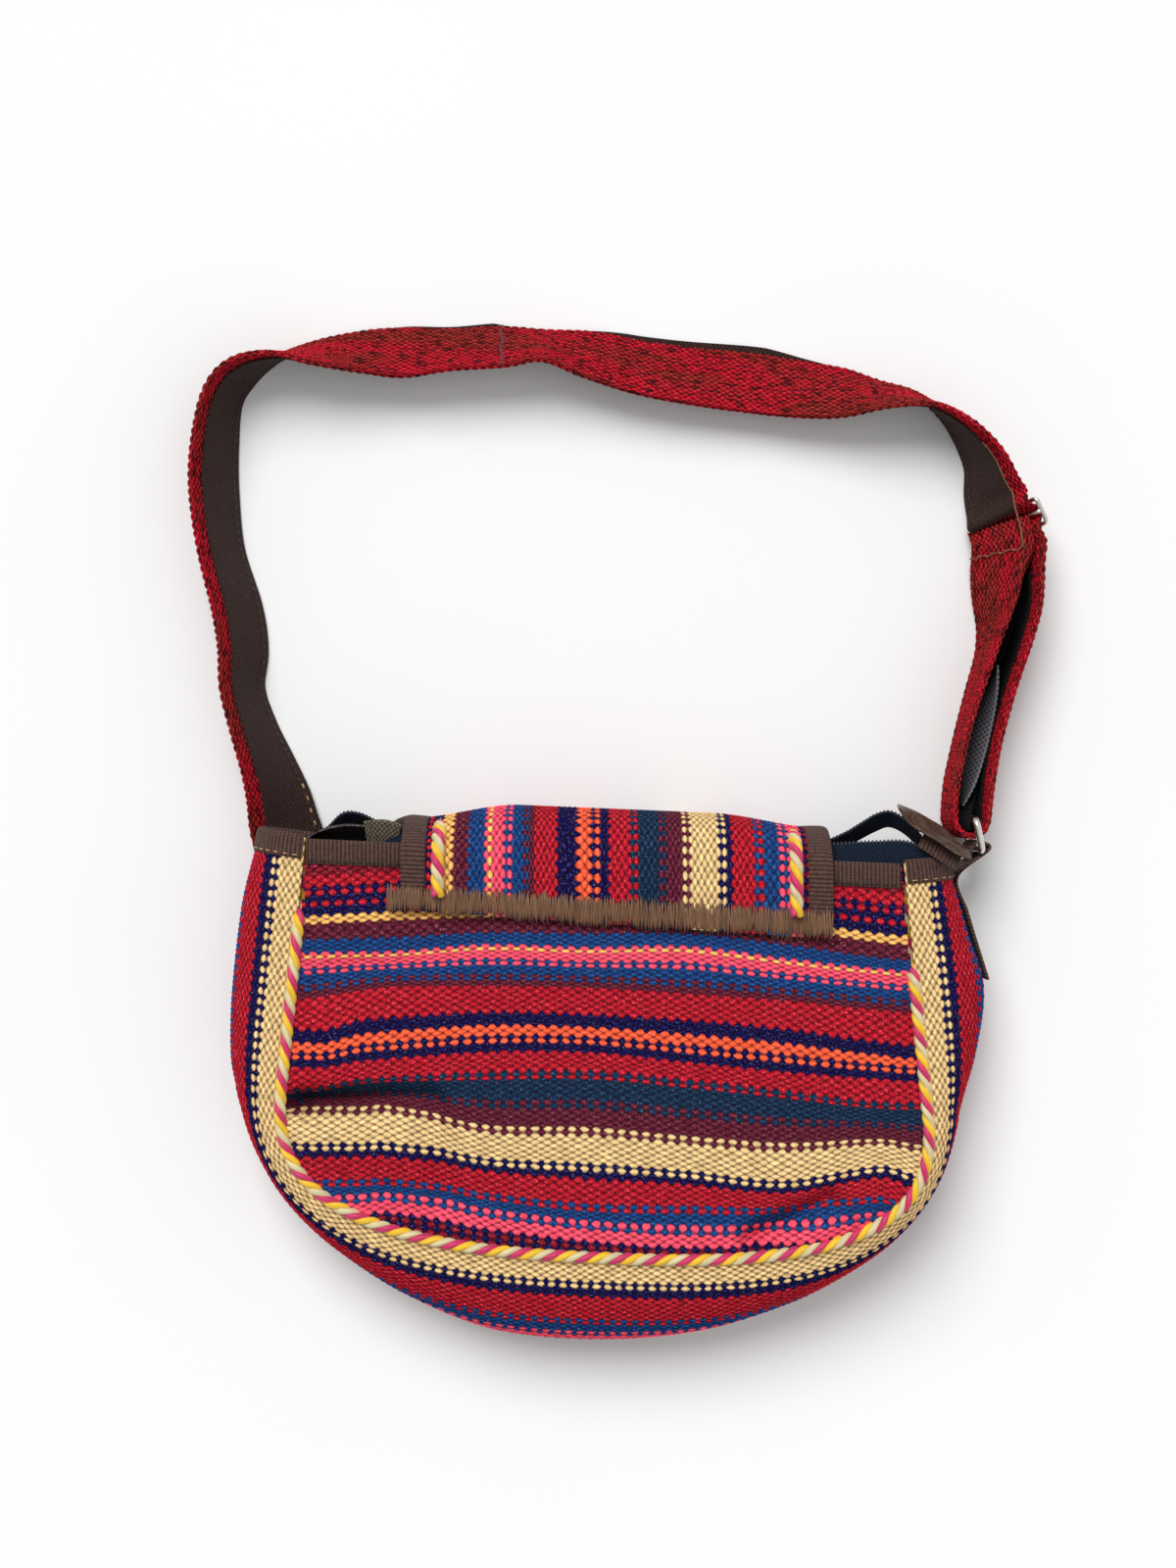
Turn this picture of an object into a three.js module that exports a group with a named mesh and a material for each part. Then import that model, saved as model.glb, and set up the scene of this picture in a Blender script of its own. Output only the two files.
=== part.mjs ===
import * as THREE from 'three';

// A small shoulder bag of striped flat-woven wool. It lies on its front with the back panel up,
// and its strap stands on edge on the same table.
// Millimetres. X runs along the mouth, Y from the bag towards the strap, Z up from the table.

// Cloth, tape and cord
const CLOTH = 2.0; // thickness of the woven wool
const TAPE = 1.0; // thickness of brown tape, zip tape, lining and leatherette
const GAP = 0.3; // clearance between pieces that are sewn together
const BINDING_WIDTH = 9; // how far the folded tape reaches onto the cloth
const PIPING_RADIUS = 2.2; // cord in the panel seams
const FLAP_CORD_RADIUS = 2.7; // thicker cord along the flap
const CORD_SIDES = 6;

// Body outline, seen from above
const TOP_HALF = 122; // half width at the mouth
const WIDE_HALF = 133; // half width where it is widest
const WIDE_DROP = 108; // distance from the mouth to the widest place
const PANEL_DROP = 167; // distance from the mouth to the lowest place
const ROUNDNESS = 2.7; // exponent of the rounded lower edge
const LAST_ROW_ANGLE = 80; // the panels end in a short straight edge at this angle of the round
const SKEW = 0.042; // the cloth lies askew: the right side is lower
const PANEL_EDGE = TAPE + 2 * GAP; // cloth stops this far from the mouth line, inside its binding
const SEAM_GAP = PIPING_RADIUS + 2 * GAP; // cloth edges stop this far from the seam line

// Heights above the table
const BACK_SEAM = 54;
const FRONT_SEAM = 3.2;
const CROWN = 3; // the back panel stands this far above its seam
const CROWN_REACH = 45; // the crown is full this far from the seam
const MOUTH_REACH = 40; // and this far from the mouth's binding
const FRONT_RISE = 9.4; // the front panel is pushed in by the flap and its cords
const FRONT_REACH = 25;
const CORNER_LIFT = 9; // the strap's sewn end lifts the left corner of the front
const CORNER_SPREAD = 26;
const CORNER_FLAT = 15; // the lift is even this far from the mouth

// How far the gusset bulges past the seam, by fraction of the seam from left mouth to right mouth
const GUSSET = [
  { along: 0.0, bulge: 26 },
  { along: 0.06, bulge: 28.5 },
  { along: 0.13, bulge: 28 },
  { along: 0.18, bulge: 25 },
  { along: 0.215, bulge: 19.5 },
  { along: 0.25, bulge: 17.2 },
  { along: 0.3, bulge: 22 },
  { along: 0.36, bulge: 31 },
  { along: 0.42, bulge: 38 },
  { along: 0.5, bulge: 39.5 },
  { along: 0.57, bulge: 35 },
  { along: 0.64, bulge: 26 },
  { along: 0.7, bulge: 17 },
  { along: 0.75, bulge: 13 },
  { along: 0.8, bulge: 17 },
  { along: 0.85, bulge: 25.5 },
  { along: 0.9, bulge: 31.5 },
  { along: 0.94, bulge: 28.5 },
  { along: 1.0, bulge: 24 },
];

// Folds and dents of the slack back panel: a line from one point to another,
// its height at both ends (valleys are negative) and how wide it spreads
const FOLDS = [
  { x0: -131, y0: -103, x1: -72, y1: -106, from: -9, to: -2, spread: 7 }, // deep crease by the left seam
  { x0: -126, y0: -119, x1: -78, y1: -124, from: 3, to: 2, spread: 12 }, // cloth lifted below it
  { x0: -71, y0: -112, x1: -64, y1: -146, from: -3, to: -2, spread: 8 }, // step at its right end
  { x0: 62, y0: -154, x1: 72, y1: -134, from: -4, to: -2, spread: 9 }, // hollow at the lower right
  { x0: 84, y0: -148, x1: 106, y1: -138, from: 3, to: 2, spread: 11 }, // bulge beside it
  { x0: -116, y0: -60, x1: -56, y1: -42, from: -3, to: -1.5, spread: 9 }, // wrinkle at the upper left
];
const FOLD_FADE = 9; // folds die out this close to a seam

// Flap: side view of its outer face, from the sewn edge over the mouth to the free end
const FLAP_HALF = 87; // half width of the cloth inside its bindings
const FLAP_X_BACK = 5; // centre of the flap on the back
const FLAP_X_FRONT = -8; // the front hangs further left
const FLAP_CORD_AT = 73; // cords lie this far from the flap's centre line
const FLAP_FLAT_HALF = 44; // flat middle that rests on the table
const FLAP_EDGE_RISE = 5.9; // the cords lift the flap's edges
const FLAP = [
  { y: -32, z: 60.4 },
  { y: -18, z: 60.8 },
  { y: -5, z: 60.2 },
  { y: 5, z: 57 },
  { y: 12, z: 50.5 },
  { y: 16, z: 41 },
  { y: 17, z: 30 },
  { y: 16, z: 18 },
  { y: 13, z: 9 },
  { y: 6, z: 2.6 },
  { y: -4, z: 0.4 },
  { y: -14, z: 0 },
  { y: -30, z: 0 },
  { y: -76, z: 0 },
  { y: -122, z: 0 },
];
const FLAP_TURN_FROM = 0.3; // part of its length where the flap drifts left and spreads
const FLAP_TURN_TO = 0.46;
const CORD_END = 2; // the cords stop this many sections before the flap's free end

// Zip tapes of the open mouth: sewn edge and free edge at places along the mouth
const ZIP_BACK = [
  { x: -112, sewnY: -7, sewnZ: 49.6, freeY: 3, freeZ: 44 },
  { x: -95, sewnY: -7, sewnZ: 49.6, freeY: 5.5, freeZ: 42 },
  { x: 0, sewnY: -7, sewnZ: 49.6, freeY: 6, freeZ: 42 },
  { x: 95, sewnY: -7, sewnZ: 49.6, freeY: 6.5, freeZ: 42.5 },
  { x: 112, sewnY: -7, sewnZ: 49.6, freeY: 8, freeZ: 44 },
];
const ZIP_FRONT = [
  { x: -112, sewnY: 2.5, sewnZ: 17, freeY: 4.5, freeZ: 27 },
  { x: -103, sewnY: 2.5, sewnZ: 16, freeY: 9.5, freeZ: 27 },
  { x: -90, sewnY: 2.5, sewnZ: 15, freeY: 8.5, freeZ: 26 },
  { x: 0, sewnY: 2.5, sewnZ: 15, freeY: 8, freeZ: 26 },
  { x: 95, sewnY: 2.5, sewnZ: 15, freeY: 9.5, freeZ: 26 },
  { x: 106, sewnY: 4, sewnZ: 17, freeY: 13.5, freeZ: 27 },
  { x: 113, sewnY: 8, sewnZ: 21, freeY: 19, freeZ: 29 },
  { x: 121, sewnY: 9, sewnZ: 23, freeY: 20, freeZ: 30 },
];

// Strap: a ribbon that stands on its lower edge. lean tips the upper edge outwards (+) or inwards (-),
// weave moves it to the outer (+) or inner (-) side of the slider's bars, lift raises it off the table.
const STRAP_WIDTH = 31;
const STRAP_THICK = 2.2;
const STRAP_CLEAR = 0.15; // its edge stands this far above the flap's flat face
const LINING_TO = 7.7; // lining's upper edge: a red margin is left above it
const STRAP_STEPS = 2; // sections between two rows of the table
const STRAP = [
  { x: -134.5, y: -12, lean: 64 },
  { x: -135.6, y: 1, lean: 64 },
  { x: -137.9, y: 10, lean: 63 },
  { x: -140.1, y: 21.4, lean: 52 },
  { x: -144, y: 34, lean: 42 },
  { x: -150.2, y: 51.2, lean: 36 },
  { x: -154.7, y: 68.3, lean: 31 },
  { x: -154.3, y: 85.5, lean: 35 },
  { x: -156.9, y: 102.7, lean: 36 },
  { x: -163.9, y: 127.8, lean: 31 },
  { x: -166.9, y: 153, lean: 34 },
  { x: -166.4, y: 173.9, lean: 30 },
  { x: -163.3, y: 193, lean: 20 },
  { x: -154.8, y: 203.7, lean: 8 },
  { x: -140.2, y: 210.4, lean: -2 },
  { x: -123.9, y: 211.7, lean: -16 },
  { x: -100.6, y: 212.4, lean: -36 },
  { x: -85.2, y: 212.2, lean: -42 },
  { x: -65.5, y: 213.2, lean: -36 },
  { x: -42.8, y: 214.4, lean: -33 },
  { x: -25.2, y: 214.7, lean: -24 },
  { x: -6.4, y: 211.3, lean: -41 },
  { x: 14.2, y: 206.2, lean: -52 },
  { x: 35.2, y: 202.7, lean: -59 },
  { x: 63.1, y: 199.5, lean: -64 },
  { x: 84, y: 196.7, lean: -58 },
  { x: 101.8, y: 195.1, lean: -48 },
  { x: 117.8, y: 193.8, lean: -23 },
  { x: 131.9, y: 192.4, lean: -7 },
  { x: 142.4, y: 188.7, lean: 6 },
  { x: 153.7, y: 179.1, lean: 14 },
  { x: 162.7, y: 166.2, lean: 24 },
  { x: 166.6, y: 153.9, lean: 38 },
  { x: 168.6, y: 148.1, lean: 45, lift: 1.4 },
  { x: 171, y: 143, lean: 47, weave: -3.6, lift: 2.7 },
  { x: 173.4, y: 137.8, lean: 47, weave: 3.6, lift: 2.7 },
  { x: 175.8, y: 132.6, lean: 47, weave: -3.6, lift: 2.7 },
  { x: 178.6, y: 127, lean: 38, lift: 1.4 },
  { x: 181.8, y: 119.5, lean: 22 },
  { x: 183.4, y: 111, lean: 13 },
  { x: 182.6, y: 103, lean: 12 },
  { x: 180.5, y: 96.7, lean: 13 },
  { x: 176.3, y: 85.4, lean: 14 },
  { x: 171.7, y: 73.3, lean: 14 },
  { x: 167.1, y: 60.8, lean: 13, lift: 0.5 },
  { x: 163.3, y: 45.3, lean: 12, lift: 1.2 },
  { x: 161, y: 29.4, lean: 8, lift: 2.6 },
  { x: 160.6, y: 18, lean: 3, lift: 3.9 },
  { x: 160.6, y: 11.6, lean: 0, lift: 4.1 },
  { x: 158.5, y: 7.2, lean: 0, lift: 4.1 },
  { x: 153.8, y: 5.5, lean: 0, lift: 4.1 },
  { x: 149.1, y: 7.2, lean: 0, lift: 4.1 },
  { x: 147, y: 11.6, lean: 0, lift: 4.1 },
  { x: 147.3, y: 18, lean: 0, lift: 3.9 },
  { x: 148.6, y: 28, lean: 0, lift: 2.2 },
  { x: 150.4, y: 37.3, lean: -2, lift: 1.5 },
  { x: 153.7, y: 52, lean: -4, lift: 0.8 },
  { x: 158.3, y: 67.4, lean: -5 },
  { x: 163.3, y: 81.2, lean: -8 },
  { x: 165.9, y: 90, lean: -14 },
  { x: 166.8, y: 96.8, lean: -22 },
  { x: 167.5, y: 108.2, lean: -35 },
  { x: 168.4, y: 118.3, lean: -41, lift: 1 },
  { x: 168.6, y: 126, lean: -44, lift: 2.5 },
  { x: 168.6, y: 132, lean: -46, lift: 4 },
];
const LINING_ROWS = { first: 2, last: 32 }; // rows of STRAP that the lining runs along
const SLIDER_ROW = 35; // row of STRAP at the slider's middle bar
const BACKING_WIDTH = 24;
const BACKING = [
  { x: 168.3, y: 73.5, lean: 9 },
  { x: 164.9, y: 63.4, lean: 9 },
  { x: 161.2, y: 52.1, lean: 8 },
  { x: 158, y: 40.7, lean: 7 },
  { x: 155.4, y: 29.4, lean: 5 },
  { x: 154.4, y: 21, lean: 3 },
];

// Metal fittings
const SLIDER_LENGTH = 13.2; // along the strap
const SLIDER_BAR = 2;
const SLIDER_WIDTH = STRAP_WIDTH + 5.4; // across the strap
const RING_WIRE = 3;
const RING_STRAP_BAR = { x: 155, y: 12.6 }; // bar inside the strap's turn
const RING_TAB_BAR = { x: 157.6, y: -0.4 }; // bar that the tab holds
const RING_HEIGHT = 39.5;
const RING_BOTTOM = 0.6;

// Brown tape that holds the ring, on the outside of the right gusset
const TAB_WIDTH = 26;
const TAB_MIDDLE = 21; // height of its middle
const TAB_STAND_OFF = 3.2; // from the gusset's surface to the middle of the tape
const TAB_FROM = 0.905; // fraction of the seam where the tab starts
const TAB_TO = 0.985;

// Loose leatherette ends at the mouth's corners: middle line, lean and height of the middle
const END_RIGHT_WIDTH = 17;
const END_RIGHT = [
  { x: 150.5, y: -3.8, z: 51, lean: 58 },
  { x: 142, y: 1, z: 50, lean: 60 },
  { x: 132, y: 8.5, z: 48, lean: 58 },
  { x: 124, y: 16, z: 47, lean: 50 },
  { x: 121.5, y: 21, z: 47, lean: 30 },
];
const END_LEFT_WIDTH = 13;
const END_LEFT = [
  { x: -117, y: 7.5, z: 36, lean: 52 },
  { x: -110, y: 9, z: 37, lean: 56 },
  { x: -102, y: 9, z: 37, lean: 54 },
];

// Mesh steps
const BACK_UPPER = 13; // rows of the panels above and below their widest place, and columns
const BACK_LOWER = 9;
const BACK_ACROSS = 22;
const FRONT_UPPER = 8;
const FRONT_LOWER = 7;
const FRONT_ACROSS = 14;
const GUSSET_ALONG = 48;
const GUSSET_ACROSS = 8;
const FLAP_ALONG = 26;
const FLAP_ACROSS = 10;
const PIPING_BACK_STEPS = 48;
const PIPING_FRONT_STEPS = 32;
const SEAM_SAMPLES = 400;

const UP = new THREE.Vector3(0, 0, 1);

const MATERIALS = {
  wool: [0x8e2b33, 0.95, 0],
  cord: [0xdf8a3c, 0.8, 0],
  brown_tape: [0x4c3531, 0.9, 0],
  navy_tape: [0x14263c, 0.85, 0],
  red_wool: [0xae2029, 0.95, 0],
  grey_spunbond: [0x57575e, 0.9, 0],
  leatherette: [0x584537, 0.55, 0],
  metal: [0xd6d3cb, 0.28, 1],
};

const mix = (a, b, f) => a + (b - a) * f;
const clamp01 = (f) => Math.min(1, Math.max(0, f));
const radians = (degrees) => (degrees * Math.PI) / 180;

function smooth(f) {
  const c = clamp01(f);
  return c * c * (3 - 2 * c);
}

// A smooth curve through one column of a table, read at a value of its key column
function read(rows, key, column, value) {
  let i = 0;
  while (i < rows.length - 2 && rows[i + 1][key] < value) i += 1;
  const at = (k) => rows[Math.min(rows.length - 1, Math.max(0, k))][column] ?? 0;
  const f = clamp01((value - rows[i][key]) / (rows[i + 1][key] - rows[i][key]));
  const slopeA = (at(i + 1) - at(i - 1)) / 2;
  const slopeB = (at(i + 2) - at(i)) / 2;
  const f2 = f * f;
  const f3 = f2 * f;
  return (
    at(i) * (2 * f3 - 3 * f2 + 1) + slopeA * (f3 - 2 * f2 + f) +
    at(i + 1) * (3 * f2 - 2 * f3) + slopeB * (f3 - f2)
  );
}

// The bag's own square frame, laid askew on the table
function lay(x, y, z) {
  return new THREE.Vector3(x, y - SKEW * x, z);
}

// One closed body from points and triangles, turned so that its faces look outwards
function closedMesh(name, materialName, points, triangles) {
  let volume = 0;
  for (const [a, b, c] of triangles) {
    volume += points[a].dot(points[b].clone().cross(points[c]));
  }
  const ordered = volume < 0 ? triangles.map(([a, b, c]) => [a, c, b]) : triangles;
  const geometry = new THREE.BufferGeometry();
  const positions = points.flatMap((p) => [p.x, p.y, p.z]);
  geometry.setAttribute('position', new THREE.Float32BufferAttribute(positions, 3));
  geometry.setIndex(ordered.flat());
  return named(name, materialName, geometry);
}

function named(name, materialName, geometry) {
  geometry.computeVertexNormals();
  const [color, roughness, metalness] = MATERIALS[materialName];
  const material = new THREE.MeshStandardMaterial({ color, roughness, metalness });
  material.name = materialName;
  const mesh = new THREE.Mesh(geometry, material);
  mesh.name = name;
  return mesh;
}

// A cloth wall: a grid of points on its outer face, with the inner face one thickness behind.
// grid[i][j] is the outer face; outwards(i, j) its unit direction.
function wall(name, materialName, grid, outwards, thickness) {
  const rows = grid.length;
  const columns = grid[0].length;
  const points = [];
  const outer = (i, j) => i * columns + j;
  const inner = (i, j) => rows * columns + outer(i, j);
  for (const row of grid) points.push(...row);
  for (let i = 0; i < rows; i += 1) {
    for (let j = 0; j < columns; j += 1) {
      points.push(grid[i][j].clone().addScaledVector(outwards(i, j), -thickness));
    }
  }
  const triangles = [];
  const quad = (a, b, c, d) => triangles.push([a, b, c], [a, c, d]);
  for (let i = 0; i + 1 < rows; i += 1) {
    for (let j = 0; j + 1 < columns; j += 1) {
      quad(outer(i, j), outer(i + 1, j), outer(i + 1, j + 1), outer(i, j + 1));
      quad(inner(i, j), inner(i, j + 1), inner(i + 1, j + 1), inner(i + 1, j));
    }
    const last = columns - 1;
    quad(outer(i, 0), inner(i, 0), inner(i + 1, 0), outer(i + 1, 0));
    quad(outer(i, last), outer(i + 1, last), inner(i + 1, last), inner(i, last));
  }
  for (let j = 0; j + 1 < columns; j += 1) {
    const last = rows - 1;
    quad(outer(0, j), outer(0, j + 1), inner(0, j + 1), inner(0, j));
    quad(outer(last, j), inner(last, j), inner(last, j + 1), outer(last, j + 1));
  }
  return closedMesh(name, materialName, points, triangles);
}

// Unit directions across a grid of points, from the differences between neighbours
function gridNormals(grid, side) {
  const rows = grid.length;
  const columns = grid[0].length;
  return (i, j) => {
    const down = grid[Math.min(rows - 1, i + 1)][j].clone().sub(grid[Math.max(0, i - 1)][j]);
    const along = grid[i][Math.min(columns - 1, j + 1)].clone().sub(grid[i][Math.max(0, j - 1)]);
    return down.cross(along).normalize().multiplyScalar(side);
  };
}

// A flat outline carried along a row of frames { at, a, b } and closed at both ends.
// Twisted sides are all split along the same diagonal, so that ribbons that lie on each other stay apart.
function sweep(name, materialName, profile, frames) {
  const count = profile.length;
  const points = frames.flatMap(({ at, a, b }) =>
    profile.map(([p, q]) => at.clone().addScaledVector(a, p).addScaledVector(b, q)));
  const triangles = [];
  for (let k = 0; k + 1 < frames.length; k += 1) {
    for (let i = 0; i < count; i += 1) {
      const j = (i + 1) % count;
      const base = k * count;
      const next = base + count;
      if (profile[j][0] > profile[i][0]) {
        triangles.push([base + i, base + j, next + j], [base + i, next + j, next + i]);
      } else {
        triangles.push([base + i, base + j, next + i], [base + j, next + j, next + i]);
      }
    }
  }
  const flat = profile.map(([p, q]) => new THREE.Vector2(p, q));
  const end = (frames.length - 1) * count;
  for (const [i, j, k] of THREE.ShapeUtils.triangulateShape(flat, [])) {
    triangles.push([i, k, j], [end + i, end + j, end + k]);
  }
  return closedMesh(name, materialName, points, triangles);
}

function circle(radius) {
  return Array.from({ length: CORD_SIDES }, (_, i) => {
    const angle = (2 * Math.PI * i) / CORD_SIDES;
    return [radius * Math.cos(angle), radius * Math.sin(angle)];
  });
}

function rectangle(fromA, toA, fromB, toB) {
  return [[fromA, fromB], [toA, fromB], [toA, toB], [fromA, toB]];
}

// Tape folded over a cloth edge: a U that opens away from +a, with the cloth between its leaves
function foldedTape() {
  const slot = CLOTH / 2 + GAP;
  const outside = slot + TAPE;
  const edge = GAP + TAPE;
  return [
    [edge, -outside], [edge, outside], [-BINDING_WIDTH, outside], [-BINDING_WIDTH, slot],
    [GAP, slot], [GAP, -slot], [-BINDING_WIDTH, -slot], [-BINDING_WIDTH, -outside],
  ];
}

// Outline of the panels

function roundHalf(angle, inset) {
  const wide = WIDE_HALF - inset;
  const drop = PANEL_DROP - WIDE_DROP - inset;
  return {
    half: wide * Math.cos(angle) ** (2 / ROUNDNESS),
    y: -WIDE_DROP - drop * Math.sin(angle) ** (2 / ROUNDNESS),
  };
}

function makeSeam() {
  const left = [];
  const sideSteps = 24;
  const roundSteps = 40;
  for (let i = 0; i < sideSteps; i += 1) {
    const f = i / sideSteps;
    left.push([-mix(TOP_HALF, WIDE_HALF, f), -WIDE_DROP * f]);
  }
  for (let i = 0; i <= roundSteps; i += 1) {
    const { half, y } = roundHalf((Math.PI / 2) * (i / roundSteps), 0);
    left.push([-half, y]);
  }
  const right = left.slice(0, -1).reverse().map(([x, y]) => [-x, y]);
  const curve = new THREE.CatmullRomCurve3([...left, ...right].map(([x, y]) => new THREE.Vector3(x, y, 0)));
  curve.arcLengthDivisions = SEAM_SAMPLES;
  return curve;
}
const SEAM = makeSeam();

// A point of the seam and the direction out of the bag there
function seamAt(along) {
  const f = clamp01(along);
  const p = SEAM.getPointAt(f);
  const t = SEAM.getTangentAt(f);
  return { x: p.x, y: p.y, outX: t.y, outY: -t.x };
}

function halfWidth(y, inset) {
  if (y > -WIDE_DROP) return mix(TOP_HALF, WIDE_HALF, -y / WIDE_DROP) - inset;
  const drop = clamp01((-WIDE_DROP - y) / (PANEL_DROP - WIDE_DROP));
  return WIDE_HALF * (1 - drop ** ROUNDNESS) ** (1 / ROUNDNESS) - inset;
}

// Roughly how far a point of a panel lies inside its seam
function insideSeam(x, y) {
  return Math.max(0, Math.min(halfWidth(y, 0) - Math.abs(x), y + PANEL_DROP));
}

function foldHeight(x, y) {
  let height = 0;
  for (const fold of FOLDS) {
    const dx = fold.x1 - fold.x0;
    const dy = fold.y1 - fold.y0;
    const f = clamp01(((x - fold.x0) * dx + (y - fold.y0) * dy) / (dx * dx + dy * dy));
    const away = Math.hypot(x - fold.x0 - f * dx, y - fold.y0 - f * dy);
    height += mix(fold.from, fold.to, f) * Math.exp(-((away / fold.spread) ** 2));
  }
  return height * smooth(insideSeam(x, y) / FOLD_FADE);
}

function backHeight(x, y) {
  const fromBinding = -y - BINDING_WIDTH;
  const crown = CROWN * smooth(insideSeam(x, y) / CROWN_REACH) * smooth(fromBinding / MOUTH_REACH);
  return BACK_SEAM + crown + foldHeight(x, y);
}

function cornerLift(x, y) {
  const drop = Math.max(0, -y - CORNER_FLAT);
  return CORNER_LIFT * Math.exp(-((x + TOP_HALF) ** 2 + drop ** 2) / CORNER_SPREAD ** 2);
}

function frontHeight(x, y) {
  return FRONT_SEAM + cornerLift(x, y) + FRONT_RISE * smooth(insideSeam(x, y) / FRONT_REACH);
}

// One row of a panel's outer face, from the left seam to the right seam
function panelRow(across, y, half, height) {
  return Array.from({ length: across + 1 }, (_, j) => {
    const x = half * mix(-1, 1, j / across);
    return lay(x, y, height(x, y));
  });
}

function panelGrid(across, upper, lower, height) {
  const grid = [];
  for (let i = 0; i < upper; i += 1) {
    const y = mix(-PANEL_EDGE, -WIDE_DROP, i / upper);
    grid.push(panelRow(across, y, halfWidth(y, SEAM_GAP), height));
  }
  for (let i = 0; i <= lower; i += 1) {
    const { half, y } = roundHalf(radians(LAST_ROW_ANGLE) * (i / lower), SEAM_GAP);
    grid.push(panelRow(across, y, half, height));
  }
  return grid;
}

function backPanel() {
  const grid = panelGrid(BACK_ACROSS, BACK_UPPER, BACK_LOWER, backHeight);
  return wall('back_panel', 'wool', grid, gridNormals(grid, 1), CLOTH);
}

function frontPanel() {
  const grid = panelGrid(FRONT_ACROSS, FRONT_UPPER, FRONT_LOWER, frontHeight);
  return wall('front_panel', 'wool', grid, gridNormals(grid, -1), CLOTH);
}

// Gusset

// across runs from 0 at the back seam to 1 at the front seam; off is measured outwards from the cloth
function gussetPoint(along, across, off) {
  const s = seamAt(along);
  const bulge = read(GUSSET, 'along', 'bulge', along);
  const low = FRONT_SEAM + cornerLift(s.x, s.y);
  const angle = Math.PI * (0.5 - across);
  const halfHigh = (BACK_SEAM - low) / 2;
  const out = SEAM_GAP + (bulge - SEAM_GAP) * Math.cos(angle);
  const z = (BACK_SEAM + low) / 2 + halfHigh * Math.sin(angle);
  const normal = new THREE.Vector2(halfHigh * Math.cos(angle), (bulge - SEAM_GAP) * Math.sin(angle));
  normal.normalize().multiplyScalar(off);
  const reach = out + normal.x;
  return lay(s.x + s.outX * reach, s.y + s.outY * reach, z + normal.y);
}

function gussetGrid() {
  const rowAt = (along) =>
    Array.from({ length: GUSSET_ACROSS + 1 }, (_, j) => gussetPoint(along, j / GUSSET_ACROSS, 0));
  return Array.from({ length: GUSSET_ALONG + 1 }, (_, i) => rowAt(i / GUSSET_ALONG));
}

function gusset() {
  const grid = gussetGrid();
  return wall('gusset', 'wool', grid, gridNormals(grid, -1), CLOTH);
}

// Tape over an end of the gusset: row is the end's row of the grid, next the row beside it
function gussetBinding(name, row, next) {
  const grid = gussetGrid();
  const outwards = gridNormals(grid, -1);
  const frames = grid[row].map((point, j) => {
    const b = outwards(row, j);
    const a = point.clone().sub(grid[next][j]).normalize();
    return { at: point.clone().addScaledVector(b, -CLOTH / 2), a, b };
  });
  return sweep(name, 'brown_tape', foldedTape(), frames);
}

function piping(name, height, steps) {
  const frames = [];
  const first = 0.012;
  for (let i = 0; i <= steps; i += 1) {
    const s = seamAt(mix(first, 1 - first, i / steps));
    frames.push({
      at: lay(s.x, s.y, height(s.x, s.y)),
      a: new THREE.Vector3(s.outX, s.outY, 0),
      b: UP,
    });
  }
  return sweep(name, 'cord', circle(PIPING_RADIUS), frames);
}

// Tape over the mouth edge of a panel; side is 1 where the panel's outer face looks up
function mouthBinding(name, across, height, side) {
  const rowAt = (y) => panelRow(across, y, halfWidth(y, SEAM_GAP), height);
  const edge = rowAt(-PANEL_EDGE);
  const below = rowAt(-PANEL_EDGE - BINDING_WIDTH);
  const frames = [];
  for (let j = 1; j < across; j += 1) {
    const a = edge[j].clone().sub(below[j]).normalize();
    const b = edge[j + 1].clone().sub(edge[j - 1]).cross(a).normalize();
    frames.push({ at: edge[j].clone().addScaledVector(b, (-side * CLOTH) / 2), a, b });
  }
  return sweep(name, 'brown_tape', foldedTape(), frames);
}

// Flap

const FLAP_SIDE = FLAP.map(({ y, z }) => new THREE.Vector3(0, y, z));
const FLAP_CURVE = new THREE.CatmullRomCurve3(FLAP_SIDE, false, 'centripetal');

// along runs from 0 at the sewn edge to 1 at the free end; x is measured from the flap's middle line
function flapPoint(along, x) {
  const p = FLAP_CURVE.getPointAt(clamp01(along));
  const front = smooth((along - FLAP_TURN_FROM) / (FLAP_TURN_TO - FLAP_TURN_FROM));
  const slope = FLAP_CORD_AT - FLAP_CORD_RADIUS - FLAP_FLAT_HALF;
  const rise = FLAP_EDGE_RISE * smooth((Math.abs(x) - FLAP_FLAT_HALF) / slope);
  return lay(mix(FLAP_X_BACK, FLAP_X_FRONT, front) + x, p.y, Math.max(0, p.z) + rise * front);
}

// Out of the flap's outer face
function flapNormal(along, x) {
  const step = 0.01;
  const down = flapPoint(along + step, x).sub(flapPoint(along - step, x));
  const across = flapPoint(along, x + 1).sub(flapPoint(along, x - 1));
  return across.cross(down).normalize();
}

function flapStations() {
  return Array.from({ length: FLAP_ALONG + 1 }, (_, i) => i / FLAP_ALONG);
}

function flap() {
  const acrossOf = (j) => FLAP_HALF * mix(-1, 1, j / FLAP_ACROSS);
  const stations = flapStations();
  const grid = stations.map((along) =>
    Array.from({ length: FLAP_ACROSS + 1 }, (_, j) => flapPoint(along, acrossOf(j))));
  const outwards = (i, j) => flapNormal(stations[i], acrossOf(j));
  return wall('flap', 'wool', grid, outwards, CLOTH);
}

// Frames beside the flap's cloth, off above its outer face; a points away from the flap's middle
function flapFrames(first, last, x, off) {
  return flapStations().slice(first, last + 1).map((along) => {
    const b = flapNormal(along, x);
    const at = flapPoint(along, x).addScaledVector(b, off);
    const a = flapPoint(along, x + Math.sign(x)).sub(flapPoint(along, x)).normalize();
    return { at, a, b };
  });
}

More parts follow.
